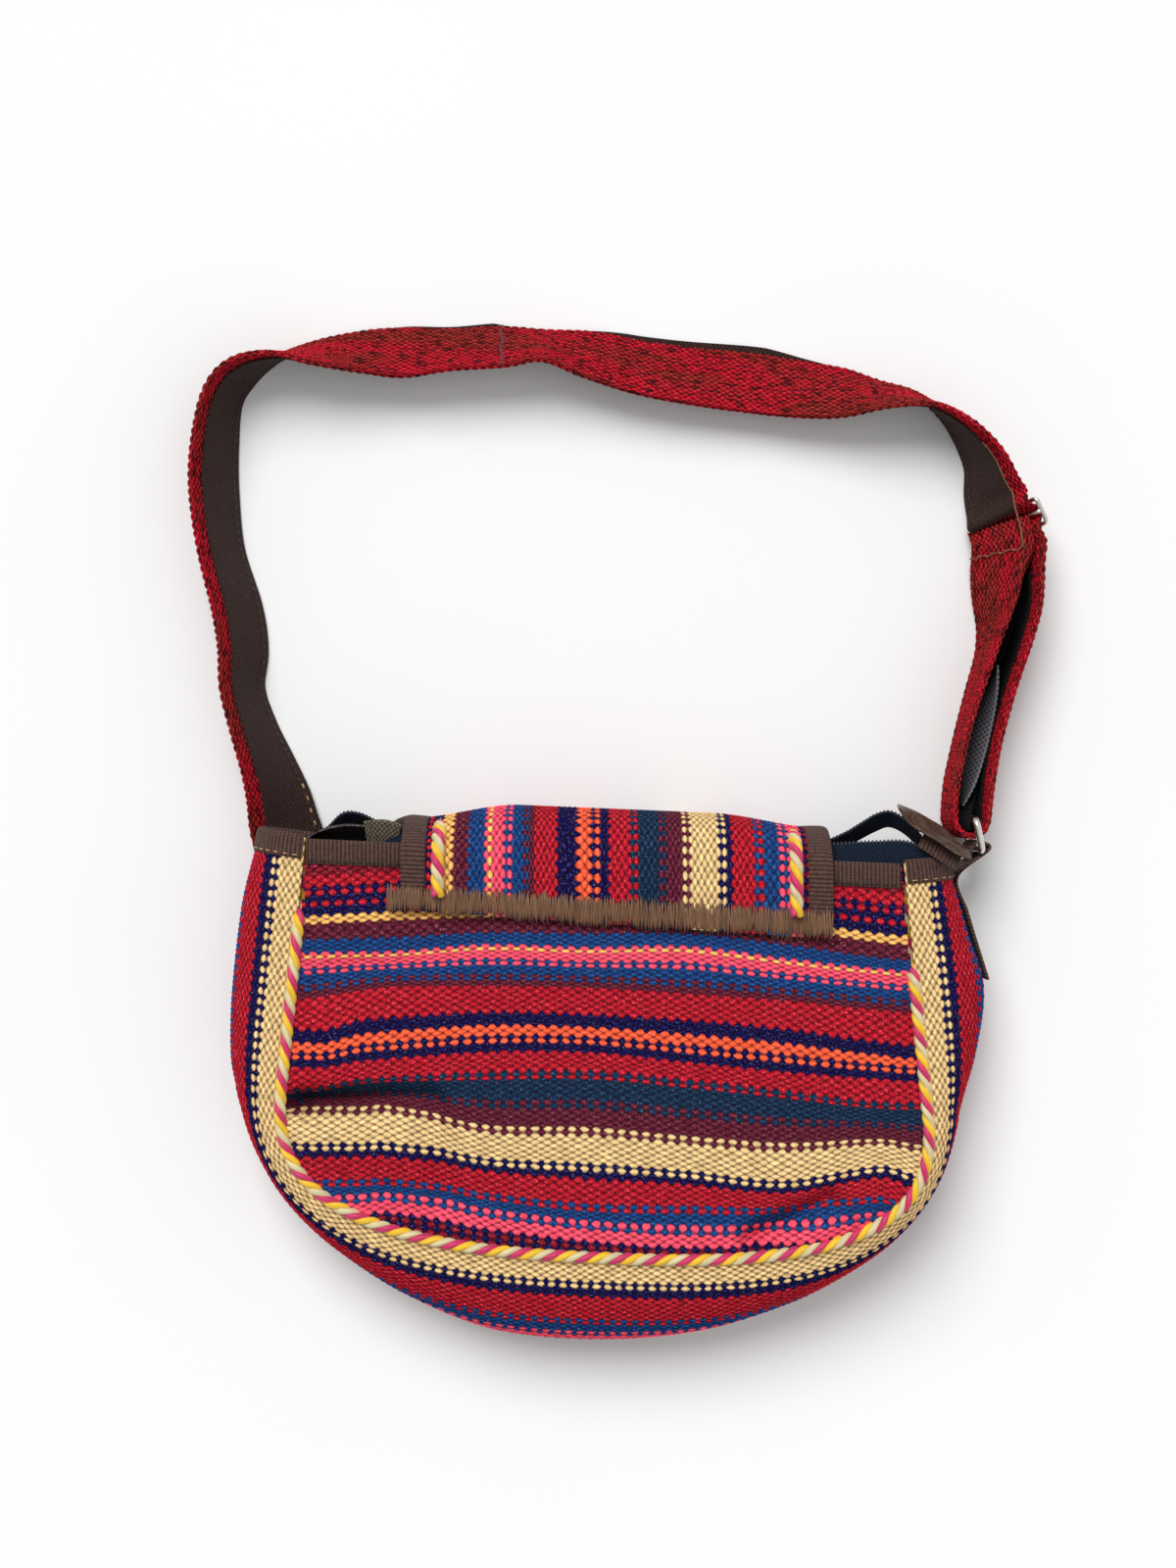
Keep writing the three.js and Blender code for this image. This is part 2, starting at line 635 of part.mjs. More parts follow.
function flapBinding(name, side) {
  const frames = flapFrames(1, FLAP_ALONG, side * FLAP_HALF, -CLOTH / 2);
  return sweep(name, 'brown_tape', foldedTape(), frames);
}

function flapCord(name, side) {
  const off = FLAP_CORD_RADIUS + GAP;
  const frames = flapFrames(1, FLAP_ALONG - CORD_END, side * FLAP_CORD_AT, off);
  return sweep(name, 'cord', circle(FLAP_CORD_RADIUS), frames);
}

// Zip tapes

function zipTape(name, rows, side) {
  const across = 2;
  const stepsPerRow = 2;
  const grid = [];
  const count = (rows.length - 1) * stepsPerRow;
  for (let i = 0; i <= count; i += 1) {
    const k = Math.min(rows.length - 2, Math.floor(i / stepsPerRow));
    const x = mix(rows[k].x, rows[k + 1].x, i / stepsPerRow - k);
    const at = (column) => read(rows, 'x', column, x);
    grid.push(Array.from({ length: across + 1 }, (_, j) => {
      const f = j / across;
      return lay(x, mix(at('sewnY'), at('freeY'), f), mix(at('sewnZ'), at('freeZ'), f));
    }));
  }
  return wall(name, 'navy_tape', grid, gridNormals(grid, side), TAPE);
}

// Strap and other ribbons

// Height of a ribbon's middle when its lowest corner stands on the table
function standingHeight(lean) {
  const s = Math.abs(Math.sin(lean));
  const below = lean > 0 ? STRAP_THICK / 2 : STRAP_THICK / 2 + GAP + TAPE;
  return STRAP_CLEAR + (STRAP_WIDTH / 2) * Math.cos(lean) + below * s;
}

// Frames along a table of rows: a points to the ribbon's upper edge, b out of its outer face
function ribbonFrames(rows, first, last, steps) {
  const curve = new THREE.CatmullRomCurve3(rows.map(({ x, y }) => new THREE.Vector3(x, y, 0)));
  const frames = [];
  const keyed = rows.map((row, index) => ({ ...row, index }));
  for (let k = first * steps; k <= last * steps; k += 1) {
    const index = k / steps;
    const column = (name) => read(keyed, 'index', name, index);
    const p = curve.getPoint(index / (rows.length - 1));
    const t = curve.getTangent(index / (rows.length - 1));
    const out = new THREE.Vector3(-t.y, t.x, 0).normalize();
    const lean = radians(column('lean'));
    const a = UP.clone().multiplyScalar(Math.cos(lean)).addScaledVector(out, Math.sin(lean));
    const b = out.clone().multiplyScalar(Math.cos(lean)).addScaledVector(UP, -Math.sin(lean));
    const z = rows[0].z === undefined ? standingHeight(lean) + column('lift') : column('z');
    const at = new THREE.Vector3(p.x, p.y, z).addScaledVector(b, column('weave'));
    frames.push({ at, a, b });
  }
  return frames;
}

function strap() {
  const frames = ribbonFrames(STRAP, 0, STRAP.length - 1, STRAP_STEPS);
  const half = STRAP_WIDTH / 2;
  const face = STRAP_THICK / 2;
  const section = [[-half, -face], [LINING_TO, -face], [half, -face], [half, face], [-half, face]];
  return sweep('strap', 'red_wool', section, frames);
}

function strapLining() {
  const frames = ribbonFrames(STRAP, LINING_ROWS.first, LINING_ROWS.last, STRAP_STEPS);
  const near = -STRAP_THICK / 2 - GAP;
  const section = rectangle(-STRAP_WIDTH / 2, LINING_TO, near - TAPE, near);
  return sweep('strap_lining', 'brown_tape', section, frames);
}

function strapBacking() {
  const frames = ribbonFrames(BACKING, 0, BACKING.length - 1, 2);
  const from = TAPE - STRAP_WIDTH / 2;
  const section = rectangle(from, from + BACKING_WIDTH, -TAPE / 2, TAPE / 2);
  return sweep('strap_backing', 'grey_spunbond', section, frames);
}

// Metal fittings

// A flat frame with square windows. xs and ys are the borders of its cells, u and v their directions;
// isOpen tells which cells are windows.
function plateFrame(name, xs, ys, isOpen, thickness, centre, u, v) {
  const w = u.clone().cross(v).multiplyScalar(thickness / 2);
  const points = [];
  for (const y of ys) {
    for (const x of xs) {
      const p = centre.clone().addScaledVector(u, x).addScaledVector(v, y);
      points.push(p.clone().add(w), p.sub(w));
    }
  }
  const top = (i, j) => 2 * (j * xs.length + i);
  const filled = (i, j) => i >= 0 && j >= 0 && i < xs.length - 1 && j < ys.length - 1 && !isOpen(i, j);
  const triangles = [];
  const quad = (a, b, c, d) => triangles.push([a, b, c], [a, c, d]);
  for (let j = 0; j + 1 < ys.length; j += 1) {
    for (let i = 0; i + 1 < xs.length; i += 1) {
      if (filled(i, j)) {
        const corners = [top(i, j), top(i + 1, j), top(i + 1, j + 1), top(i, j + 1)];
        const beside = [[i, j - 1], [i + 1, j], [i, j + 1], [i - 1, j]];
        quad(...corners);
        quad(...corners.map((k) => k + 1).reverse());
        beside.forEach(([ni, nj], k) => {
          const p = corners[k];
          const q = corners[(k + 1) % 4];
          if (!filled(ni, nj)) quad(q, p, p + 1, q + 1);
        });
      }
    }
  }
  return closedMesh(name, 'metal', points, triangles);
}

function slider() {
  const middle = ribbonFrames(STRAP, SLIDER_ROW, SLIDER_ROW, 1)[0];
  const centre = middle.at.clone().addScaledVector(middle.b, -STRAP[SLIDER_ROW].weave);
  const halfX = SLIDER_LENGTH / 2;
  const halfY = SLIDER_WIDTH / 2;
  const xs = [-halfX, SLIDER_BAR - halfX, -SLIDER_BAR / 2, SLIDER_BAR / 2, halfX - SLIDER_BAR, halfX];
  const ys = [-halfY, SLIDER_BAR - halfY, halfY - SLIDER_BAR, halfY];
  const isSlot = (i, j) => j === 1 && (i === 1 || i === 3);
  const u = middle.a.clone().cross(middle.b).normalize();
  return plateFrame('slider', xs, ys, isSlot, SLIDER_BAR, centre, u, middle.a);
}

function ring() {
  const from = new THREE.Vector3(RING_STRAP_BAR.x, RING_STRAP_BAR.y, 0);
  const to = new THREE.Vector3(RING_TAB_BAR.x, RING_TAB_BAR.y, 0);
  const centre = from.clone().add(to).multiplyScalar(0.5).setZ(RING_BOTTOM + RING_HEIGHT / 2);
  const halfX = (from.distanceTo(to) + RING_WIRE) / 2;
  const halfY = RING_HEIGHT / 2;
  const xs = [-halfX, RING_WIRE - halfX, halfX - RING_WIRE, halfX];
  const ys = [-halfY, RING_WIRE - halfY, halfY - RING_WIRE, halfY];
  const isWindow = (i, j) => i === 1 && j === 1;
  return plateFrame('ring', xs, ys, isWindow, RING_WIRE, centre, to.sub(from).normalize(), UP);
}

function ringTab() {
  const rows = [];
  const steps = 3;
  const middle = 0.5;
  for (let i = 0; i <= steps; i += 1) {
    const p = gussetPoint(mix(TAB_FROM, TAB_TO, i / steps), middle, TAB_STAND_OFF);
    rows.push({ x: p.x, y: p.y, z: TAB_MIDDLE, lean: 0 });
  }
  const turn = RING_WIRE + TAPE / 2;
  for (const degrees of [0, 60, 120, 180]) {
    rows.push({
      x: RING_TAB_BAR.x + turn * Math.cos(radians(degrees)),
      y: RING_TAB_BAR.y + turn * Math.sin(radians(degrees)),
      z: TAB_MIDDLE,
      lean: 0,
    });
  }
  rows.push({ x: RING_TAB_BAR.x - turn - 1, y: RING_TAB_BAR.y - 3, z: TAB_MIDDLE, lean: 0 });
  const frames = ribbonFrames(rows, 0, rows.length - 1, 2);
  const section = rectangle(-TAB_WIDTH / 2, TAB_WIDTH / 2, -TAPE / 2, TAPE / 2);
  return sweep('ring_tab', 'brown_tape', section, frames);
}

function tabEnd(name, rows, width) {
  const frames = ribbonFrames(rows, 0, rows.length - 1, 2);
  return sweep(name, 'leatherette', rectangle(-width / 2, width / 2, -TAPE / 2, TAPE / 2), frames);
}

function buildBag() {
  const bag = new THREE.Group();
  bag.name = 'kilim_bag';
  const seamHeight = () => BACK_SEAM + GAP;
  const frontSeamHeight = (x, y) => FRONT_SEAM + cornerLift(x, y);
  bag.add(
    backPanel(), frontPanel(), gusset(), flap(),
    piping('piping_back', seamHeight, PIPING_BACK_STEPS),
    piping('piping_front', frontSeamHeight, PIPING_FRONT_STEPS),
    flapCord('flap_cord_left', -1), flapCord('flap_cord_right', 1),
    flapBinding('flap_binding_left', -1), flapBinding('flap_binding_right', 1),
    mouthBinding('back_binding', BACK_ACROSS, backHeight, 1),
    mouthBinding('front_binding', FRONT_ACROSS, frontHeight, -1),
    gussetBinding('gusset_binding_left', 0, 1),
    gussetBinding('gusset_binding_right', GUSSET_ALONG, GUSSET_ALONG - 1),
    zipTape('zip_tape_back', ZIP_BACK, -1), zipTape('zip_tape_front', ZIP_FRONT, -1),
    strap(), strapLining(), strapBacking(), slider(), ring(), ringTab(),
    tabEnd('tab_end_left', END_LEFT, END_LEFT_WIDTH), tabEnd('tab_end_right', END_RIGHT, END_RIGHT_WIDTH),
  );
  const box = new THREE.Box3().setFromObject(bag);
  const centre = box.getCenter(new THREE.Vector3());
  bag.position.set(-centre.x, -centre.y, -box.min.z);
  return bag;
}

export default buildBag();
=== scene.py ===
# %% [markdown]
# # A striped wool shoulder bag, lying on its front
#
# The bag is sewn from flat-woven wool: two half-moon panels, a strip round the sides and bottom, a flap
# over the mouth and a red strap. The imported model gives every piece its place. This script gives each one
# its cloth, cord, tape or metal. All lengths below are in millimetres until a mesh is made.

# %% Load the frame
import math

import bmesh
import bpy
import numpy as np
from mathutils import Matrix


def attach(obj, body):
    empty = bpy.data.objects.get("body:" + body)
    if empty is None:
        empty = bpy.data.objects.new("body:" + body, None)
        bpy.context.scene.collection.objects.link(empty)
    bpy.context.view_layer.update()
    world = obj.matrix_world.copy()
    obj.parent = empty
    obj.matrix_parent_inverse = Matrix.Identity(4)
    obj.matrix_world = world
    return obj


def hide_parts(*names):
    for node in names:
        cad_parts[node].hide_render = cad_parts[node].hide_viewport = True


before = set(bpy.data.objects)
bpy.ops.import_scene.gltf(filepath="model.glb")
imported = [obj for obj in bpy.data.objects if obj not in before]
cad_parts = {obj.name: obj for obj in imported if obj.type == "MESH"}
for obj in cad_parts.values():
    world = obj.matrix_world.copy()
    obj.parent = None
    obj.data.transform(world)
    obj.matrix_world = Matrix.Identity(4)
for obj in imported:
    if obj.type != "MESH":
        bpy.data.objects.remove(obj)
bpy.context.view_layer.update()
MM = 0.001
rng = np.random.default_rng(7)
print("nodes in the frame:", len(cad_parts))

# %% [markdown]
# ## Camera, floor and light
#
# The photo looks straight down on the bag from about one metre, so the camera needs no turn at all: an
# unturned Blender camera looks down. Its lens follows from the width of table that the picture shows.
# The bag lies on something white in even light, so the floor is pale and the world is bright. A wide, soft
# sun from the top of the picture shades the folds and the weave. A sun lights the whole floor alike, where
# a lamp close by would leave grey corners.

# %% Camera
PLACE = np.array([-6.201, -8.629, 0.0])  # the bag's own zero, in the part's frame
PHOTO_CENTRE = np.array([-6.83, 27.3])  # point of the bag's frame under the middle of the photo
CAMERA_HEIGHT = 1000.0
SEEN_LENGTH = 680.0  # how much of the table the photo's long side shows
SENSOR = 36.0

camera_data = bpy.data.cameras.new("camera")
camera_data.sensor_fit = "VERTICAL"
camera_data.sensor_height = SENSOR
camera_data.lens = SENSOR * CAMERA_HEIGHT / SEEN_LENGTH
camera = bpy.data.objects.new("camera", camera_data)
camera.location = [*((PHOTO_CENTRE + PLACE[:2]) * MM), CAMERA_HEIGHT * MM]
bpy.context.scene.collection.objects.link(camera)
bpy.context.scene.camera = camera
print("lens", round(camera_data.lens, 2), "mm")


# %% Helpers for colours, nodes and objects
def colour(hex_code):
    """An sRGB hex colour as linear red, green, blue and alpha."""
    parts = [int(hex_code[i:i + 2], 16) / 255 for i in (1, 3, 5)]
    linear = [c / 12.92 if c <= 0.04045 else ((c + 0.055) / 1.055) ** 2.4 for c in parts]
    return (*linear, 1.0)


def add_node(tree, kind, inputs=None, **settings):
    """Adds one shader node, with its settings and with values or links for its inputs."""
    node = tree.nodes.new("ShaderNode" + kind)
    for name, value in settings.items():
        setattr(node, name, value)
    for name, value in (inputs or {}).items():
        if isinstance(value, bpy.types.NodeSocket):
            tree.links.new(value, node.inputs[name])
        else:
            node.inputs[name].default_value = value
    return node


def new_material(name):
    """An empty material with its output, and the tree to fill."""
    material = bpy.data.materials.new(name)
    material.use_nodes = True
    material.node_tree.nodes.clear()
    return material, material.node_tree


def finish_material(tree, inputs):
    """Joins a Principled shader with these inputs to the material's output."""
    shader = add_node(tree, "BsdfPrincipled", inputs)
    add_node(tree, "OutputMaterial", {"Surface": shader.outputs[0]})


def add_object(name, mesh, materials):
    """Links a finished mesh into the scene, riding on the bag."""
    for material in materials:
        mesh.materials.append(material)
    mesh.shade_smooth()
    piece = bpy.data.objects.new(name, mesh)
    bpy.context.scene.collection.objects.link(piece)
    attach(piece, "root")
    return piece


# %% Floor and lamps
# Matt white board: even and without gloss, only faintly cloudy.
FLOOR_SIZE = 12.0  # metres
FLOOR_CLOUDS = 40.0  # clouds across the whole floor, so each is about 0.3 m wide
floor_paint, tree = new_material("matt white board")
grain = add_node(tree, "TexNoise", {"Scale": FLOOR_CLOUDS, "Detail": 2.0}).outputs[0]
tone = add_node(tree, "MapRange", {0: grain, 3: 0.86, 4: 0.9}).outputs[0]
finish_material(tree, {"Base Color": tone, "Roughness": 0.9})

bm = bmesh.new()
bmesh.ops.create_grid(bm, x_segments=1, y_segments=1, size=FLOOR_SIZE / 2)
floor_mesh = bpy.data.meshes.new("floor")
bm.to_mesh(floor_mesh)
bm.free()
floor_mesh.materials.append(floor_paint)
floor = bpy.data.objects.new("floor", floor_mesh)
bpy.context.scene.collection.objects.link(floor)

LAMPS = [
    {"name": "soft_key", "from": (-0.3, 0.7, 1.0), "angle": 36.0, "strength": 2.5},
    {"name": "soft_fill", "from": (0.9, -0.3, 1.0), "angle": 90.0, "strength": 0.6},
]
for row in LAMPS:
    lamp_data = bpy.data.lights.new(row["name"], "SUN")
    lamp_data.angle = math.radians(row["angle"])
    lamp_data.energy = row["strength"]
    lamp = bpy.data.objects.new(row["name"], lamp_data)
    lamp.location = row["from"]
    aim = -lamp.location
    lamp.rotation_euler = aim.to_track_quat("-Z", "Y").to_euler()
    bpy.context.scene.collection.objects.link(lamp)

WORLD_LIGHT = 0.36
world = bpy.data.worlds.new("even white light")
world.use_nodes = True
background = world.node_tree.nodes["Background"]
background.inputs["Color"].default_value = colour("#FFFFFF")
background.inputs["Strength"].default_value = WORLD_LIGHT
bpy.context.scene.world = world
bpy.context.scene.view_settings.view_transform = "Standard"
print("lamps", len(LAMPS))

# %% [markdown]
# ## The shapes that carry the cloth
#
# Cloth is bent, not carved, so each piece is a rectangle of cloth that is laid on a curved form. The
# functions below give that form for any point of the cloth: the outline of the half-moon, the height of
# the slack back panel with its folds, the round gusset and the flap's path over the mouth. They repeat
# the sizes of the part's source, because a scene that invented its own would not fit the frame. Only a few
# folds are drawn deeper here than in the source.

# %% Smooth curves through short tables
def smooth(f):
    """Eases from 0 to 1 while f goes from 0 to 1."""
    c = np.clip(f, 0.0, 1.0)
    return c * c * (3 - 2 * c)


def mix(a, b, f):
    """The value that lies the share f of the way from a to b."""
    return a + (b - a) * f


def spline(values, place):
    """A smooth curve through equally spaced values, read at places from 0 to the last index."""
    values = np.asarray(values, float)
    last = len(values) - 1
    place = np.clip(np.asarray(place, float), 0, last)
    i = np.minimum(place.astype(int), last - 1)
    f = (place - i).reshape(place.shape + (1,) * (values.ndim - 1))
    before, here = values[np.maximum(i - 1, 0)], values[i]
    there, after = values[i + 1], values[np.minimum(i + 2, last)]
    slope_a, slope_b = (there - before) / 2, (after - here) / 2
    return (
        here * (2 * f**3 - 3 * f**2 + 1) + slope_a * (f**3 - 2 * f**2 + f)
        + there * (3 * f**2 - 2 * f**3) + slope_b * (f**3 - f**2)
    )


def read(rows, key, column, value):
    """One column of a table as a smooth curve over its key column."""
    keys = [row[key] for row in rows]
    place = np.interp(value, keys, np.arange(len(keys)))
    return spline([row.get(column, 0.0) for row in rows], place)


def lengths_along(points):
    """Length of a line of points from its start to each of them."""
    steps = np.linalg.norm(np.diff(points, axis=0), axis=1)
    return np.concatenate([[0.0], np.cumsum(steps)])


def even_steps(points, spacing):
    """Places along a curve that are equally far apart, and the curve's length."""
    length = lengths_along(points)
    count = max(2, int(round(length[-1] / spacing)))
    wanted = np.linspace(0, length[-1], count + 1)
    return np.interp(wanted, length, np.linspace(0, 1, len(points))), length[-1]


# %% Outline and heights of the body
CLOTH = 2.0  # thickness of the woven wool
SKEW = 0.042  # how much the bag lies askew: fall for each step to the right
TOP_HALF, WIDE_HALF = 122.0, 133.0  # half widths at the mouth and at the widest place
WIDE_DROP, PANEL_DROP = 108.0, 167.0  # how far below the mouth the widest place and the bottom lie
ROUNDNESS = 2.7  # power of the curve round the bottom: 2 is an ellipse, more is squarer
BACK_SEAM, FRONT_SEAM = 54.0, 3.2  # heights of the two seams
SLACK, SLACK_REACH, MOUTH_REACH = 3.0, 45.0, 40.0  # rise of the slack panel from seam and mouth
FRONT_RISE, FRONT_REACH = 9.4, 25.0  # the front panel lies over the flap, so it rises inside its seam
CORNER_LIFT, CORNER_SPREAD, CORNER_FLAT = 9.0, 26.0, 15.0  # the strap holds up the mouth's left corner
BINDING_WIDTH = 9.0
FOLD_FADE = 9.0  # folds die out within this distance of the seam
FOLDS = [  # each runs from point 0 to point 1, with its heights there and its spread to the sides
    {"x0": -131, "y0": -110, "x1": -70, "y1": -104, "from": -17, "to": -4, "spread": 5},
    {"x0": -126, "y0": -119, "x1": -78, "y1": -124, "from": 3, "to": 2, "spread": 12},
    {"x0": -71, "y0": -112, "x1": -64, "y1": -146, "from": -5, "to": -4, "spread": 7},
    {"x0": 62, "y0": -157, "x1": 92, "y1": -140, "from": -10, "to": -6, "spread": 5.5},
    {"x0": 84, "y0": -148, "x1": 106, "y1": -138, "from": 3, "to": 2, "spread": 11},
    {"x0": -116, "y0": -60, "x1": -56, "y1": -42, "from": -3, "to": -1.5, "spread": 9},
]


def lay(x, y, z):
    """From the bag's own square frame to the part's frame: the cloth lies a little askew."""
    x, y, z = np.broadcast_arrays(x, y, z)
    return np.stack([x, y - SKEW * x, z], axis=-1) + PLACE


def half_width(y):
    """Half the panel's width at a height y below the mouth."""
    drop = np.clip((-WIDE_DROP - y) / (PANEL_DROP - WIDE_DROP), 0, 1)
    straight = mix(TOP_HALF, WIDE_HALF, np.clip(-y / WIDE_DROP, 0, 1))
    return np.where(y > -WIDE_DROP, straight, WIDE_HALF * (1 - drop**ROUNDNESS) ** (1 / ROUNDNESS))


def inside_seam(x, y):
    """How far a point lies inside the seam."""
    return np.maximum(0, np.minimum(half_width(y) - np.abs(x), y + PANEL_DROP))


def fold_height(x, y):
    """Sum of all folds at a point: dents are below zero."""
    height = np.zeros(np.broadcast(x, y).shape)
    for fold in FOLDS:
        dx, dy = fold["x1"] - fold["x0"], fold["y1"] - fold["y0"]
        f = np.clip(((x - fold["x0"]) * dx + (y - fold["y0"]) * dy) / (dx * dx + dy * dy), 0, 1)
        away = np.hypot(x - fold["x0"] - f * dx, y - fold["y0"] - f * dy)
        height += mix(fold["from"], fold["to"], f) * np.exp(-((away / fold["spread"]) ** 2))
    return height * smooth(inside_seam(x, y) / FOLD_FADE)


def back_height(x, y):
    """Outer face of the back panel."""
    slack = SLACK * smooth(inside_seam(x, y) / SLACK_REACH) * smooth((-y - BINDING_WIDTH) / MOUTH_REACH)
    return BACK_SEAM + slack + fold_height(x, y)


def corner_lift(x, y):
    """How far the left corner of the mouth is lifted off the floor."""
    drop = np.maximum(0, -y - CORNER_FLAT)
    return CORNER_LIFT * np.exp(-((x + TOP_HALF) ** 2 + drop**2) / CORNER_SPREAD**2)


def front_height(x, y):
    """Outer face of the front panel, seen from below."""
    return FRONT_SEAM + corner_lift(x, y) + FRONT_RISE * smooth(inside_seam(x, y) / FRONT_REACH)


print("panel", 2 * WIDE_HALF, "x", PANEL_DROP, "mm with", len(FOLDS), "folds")

# %% The seam line and the gusset
GUSSET = [  # share of the seam's length, and how far the strip bulges beyond the seam there
    {"along": 0.0, "bulge": 22.5}, {"along": 0.06, "bulge": 26.8}, {"along": 0.13, "bulge": 27.5},
    {"along": 0.18, "bulge": 25}, {"along": 0.215, "bulge": 19}, {"along": 0.25, "bulge": 16},
    {"along": 0.3, "bulge": 20.5}, {"along": 0.36, "bulge": 30}, {"along": 0.42, "bulge": 38},
    {"along": 0.5, "bulge": 39}, {"along": 0.57, "bulge": 34.5}, {"along": 0.64, "bulge": 24.8},
    {"along": 0.7, "bulge": 15.5}, {"along": 0.75, "bulge": 11}, {"along": 0.8, "bulge": 15.5},
    {"along": 0.85, "bulge": 26}, {"along": 0.9, "bulge": 32.2}, {"along": 0.94, "bulge": 28},
    {"along": 1.0, "bulge": 22.5},
]
EDGE_IN = 0.8  # the cloth reaches this close to the seam line, under the rope


def seam_curve():
    """Points of the seam from the left mouth corner round the bottom to the right, and its length."""
    side = np.linspace(0, 1, 200, endpoint=False)
    angle = np.linspace(0, math.pi / 2, 1200)
    x = np.concatenate([mix(TOP_HALF, WIDE_HALF, side), WIDE_HALF * np.cos(angle) ** (2 / ROUNDNESS)])
    drop = (PANEL_DROP - WIDE_DROP) * np.sin(angle) ** (2 / ROUNDNESS)
    y = np.concatenate([-WIDE_DROP * side, -WIDE_DROP - drop])
    line = np.stack([np.concatenate([-x, x[-2::-1]]), np.concatenate([y, y[-2::-1]])], axis=1)
    return line, lengths_along(line)


SEAM, SEAM_AT = seam_curve()
SEAM_LENGTH = SEAM_AT[-1]


def seam_at(along):
    """Point of the seam and the direction out of the bag."""
    def point(f):
        wanted = np.clip(f, 0, 1) * SEAM_LENGTH
        return np.stack([np.interp(wanted, SEAM_AT, SEAM[:, k]) for k in (0, 1)], axis=-1)

    step = 0.004
    ahead = point(along + step) - point(along - step)
    ahead /= np.linalg.norm(ahead, axis=-1, keepdims=True)
    return point(along), np.stack([ahead[..., 1], -ahead[..., 0]], axis=-1)


def gusset_point(along, across, off=0.0):
    """Outer face of the gusset: across runs from 0 at the back seam to 1 at the front seam."""
    at, out = seam_at(along)
    bulge = read(GUSSET, "along", "bulge", along)
    low = FRONT_SEAM + corner_lift(at[..., 0], at[..., 1])
    angle = math.pi * (0.5 - across)
    half_high = (BACK_SEAM - low) / 2
    reach = EDGE_IN + (bulge - EDGE_IN) * np.cos(angle)
    height = (BACK_SEAM + low) / 2 + half_high * np.sin(angle)
    normal = np.stack([half_high * np.cos(angle), (bulge - EDGE_IN) * np.sin(angle)], axis=-1)
    normal *= off / np.linalg.norm(normal, axis=-1, keepdims=True)
    reach = reach + normal[..., 0]
    return lay(at[..., 0] + out[..., 0] * reach, at[..., 1] + out[..., 1] * reach, height + normal[..., 1])


print("seam", round(SEAM_LENGTH, 1), "mm")

# %% The flap's path
FLAP_HALF = 87.0
FLAP_X_BACK, FLAP_X_FRONT = 5.0, -8.0  # where its middle lies on the back and on the front
FLAP_CORD_AT, FLAP_CORD_RADIUS = 73.0, 2.7
FLAP_FLAT_HALF, FLAP_EDGE_RISE = 44.0, 5.9  # the front part is flat this far out, then its cords lift it
FLAP_TURN_FROM, FLAP_TURN_TO = 0.3, 0.46  # shares of its length between back and front
SEWN_SLANT = 4.4  # how much further up the back the left end of the sewn edge lies
TUCK_LEFT, TUCK_RIGHT = 7.0, 4.5  # how far the fold draws in towards the flap's sides
TUCK_FROM, TUCK_OVER = 40.0, 45.0  # how far from its middle that begins, and over which width
TUCK_START, SLANT_START, FADE = -8.0, -12.0, 20.0  # y where tuck and slant begin, and how soon
UPPER_LAYER = 40.0  # only the layer above this height is slanted
FLAP = np.array([
    (-32, 59.4), (-18, 60.6), (-5, 60.2), (5, 57), (12, 50.5), (16, 41), (17, 30), (16, 18),
    (13, 9), (6, 2.6), (-4, 0.4), (-14, 0), (-30, 0), (-76, 0), (-122, 0),
], float)  # side view: y and z of the outer face, from the sewn edge to the free end
FLAP_FINE = spline(FLAP, np.linspace(0, len(FLAP) - 1, 1500))
FLAP_STEPS = lengths_along(FLAP_FINE)
FLAP_LENGTH = FLAP_STEPS[-1]


def flap_point(along, x):
    """Outer face of the flap: along runs from 0 at the sewn edge to 1 at the free end."""
    wanted = np.clip(along, 0, 1) * FLAP_LENGTH
    y = np.interp(wanted, FLAP_STEPS, FLAP_FINE[:, 0])
    z = np.maximum(0, np.interp(wanted, FLAP_STEPS, FLAP_FINE[:, 1]))
    front = smooth((along - FLAP_TURN_FROM) / (FLAP_TURN_TO - FLAP_TURN_FROM))
    tuck = np.where(x < 0, TUCK_LEFT, TUCK_RIGHT)
    y = y - tuck * smooth((np.abs(x) - TUCK_FROM) / TUCK_OVER) * smooth((y - TUCK_START) / FADE)
    slant = SEWN_SLANT * (FLAP_HALF - x) / (2 * FLAP_HALF) * smooth((SLANT_START - y) / FADE)
    y = y + slant * (z > UPPER_LAYER)
    slope = FLAP_CORD_AT - FLAP_CORD_RADIUS - FLAP_FLAT_HALF
    rise = FLAP_EDGE_RISE * smooth((np.abs(x) - FLAP_FLAT_HALF) / slope)
    return lay(mix(FLAP_X_BACK, FLAP_X_FRONT, front) + x, y, z + rise * front)


print("flap", round(FLAP_LENGTH, 1), "mm long")

# %% [markdown]
# ## How a mesh is laid on a form
#
# Every sheet, ribbon, cord and wire here is a Blender grid whose points are moved onto a form. A sheet
# keeps its open grid. A ribbon or a cord is a grid rolled into a tube: its last row of points meets the
# first, the doubles are merged and the two ends are filled, so the shell is closed.

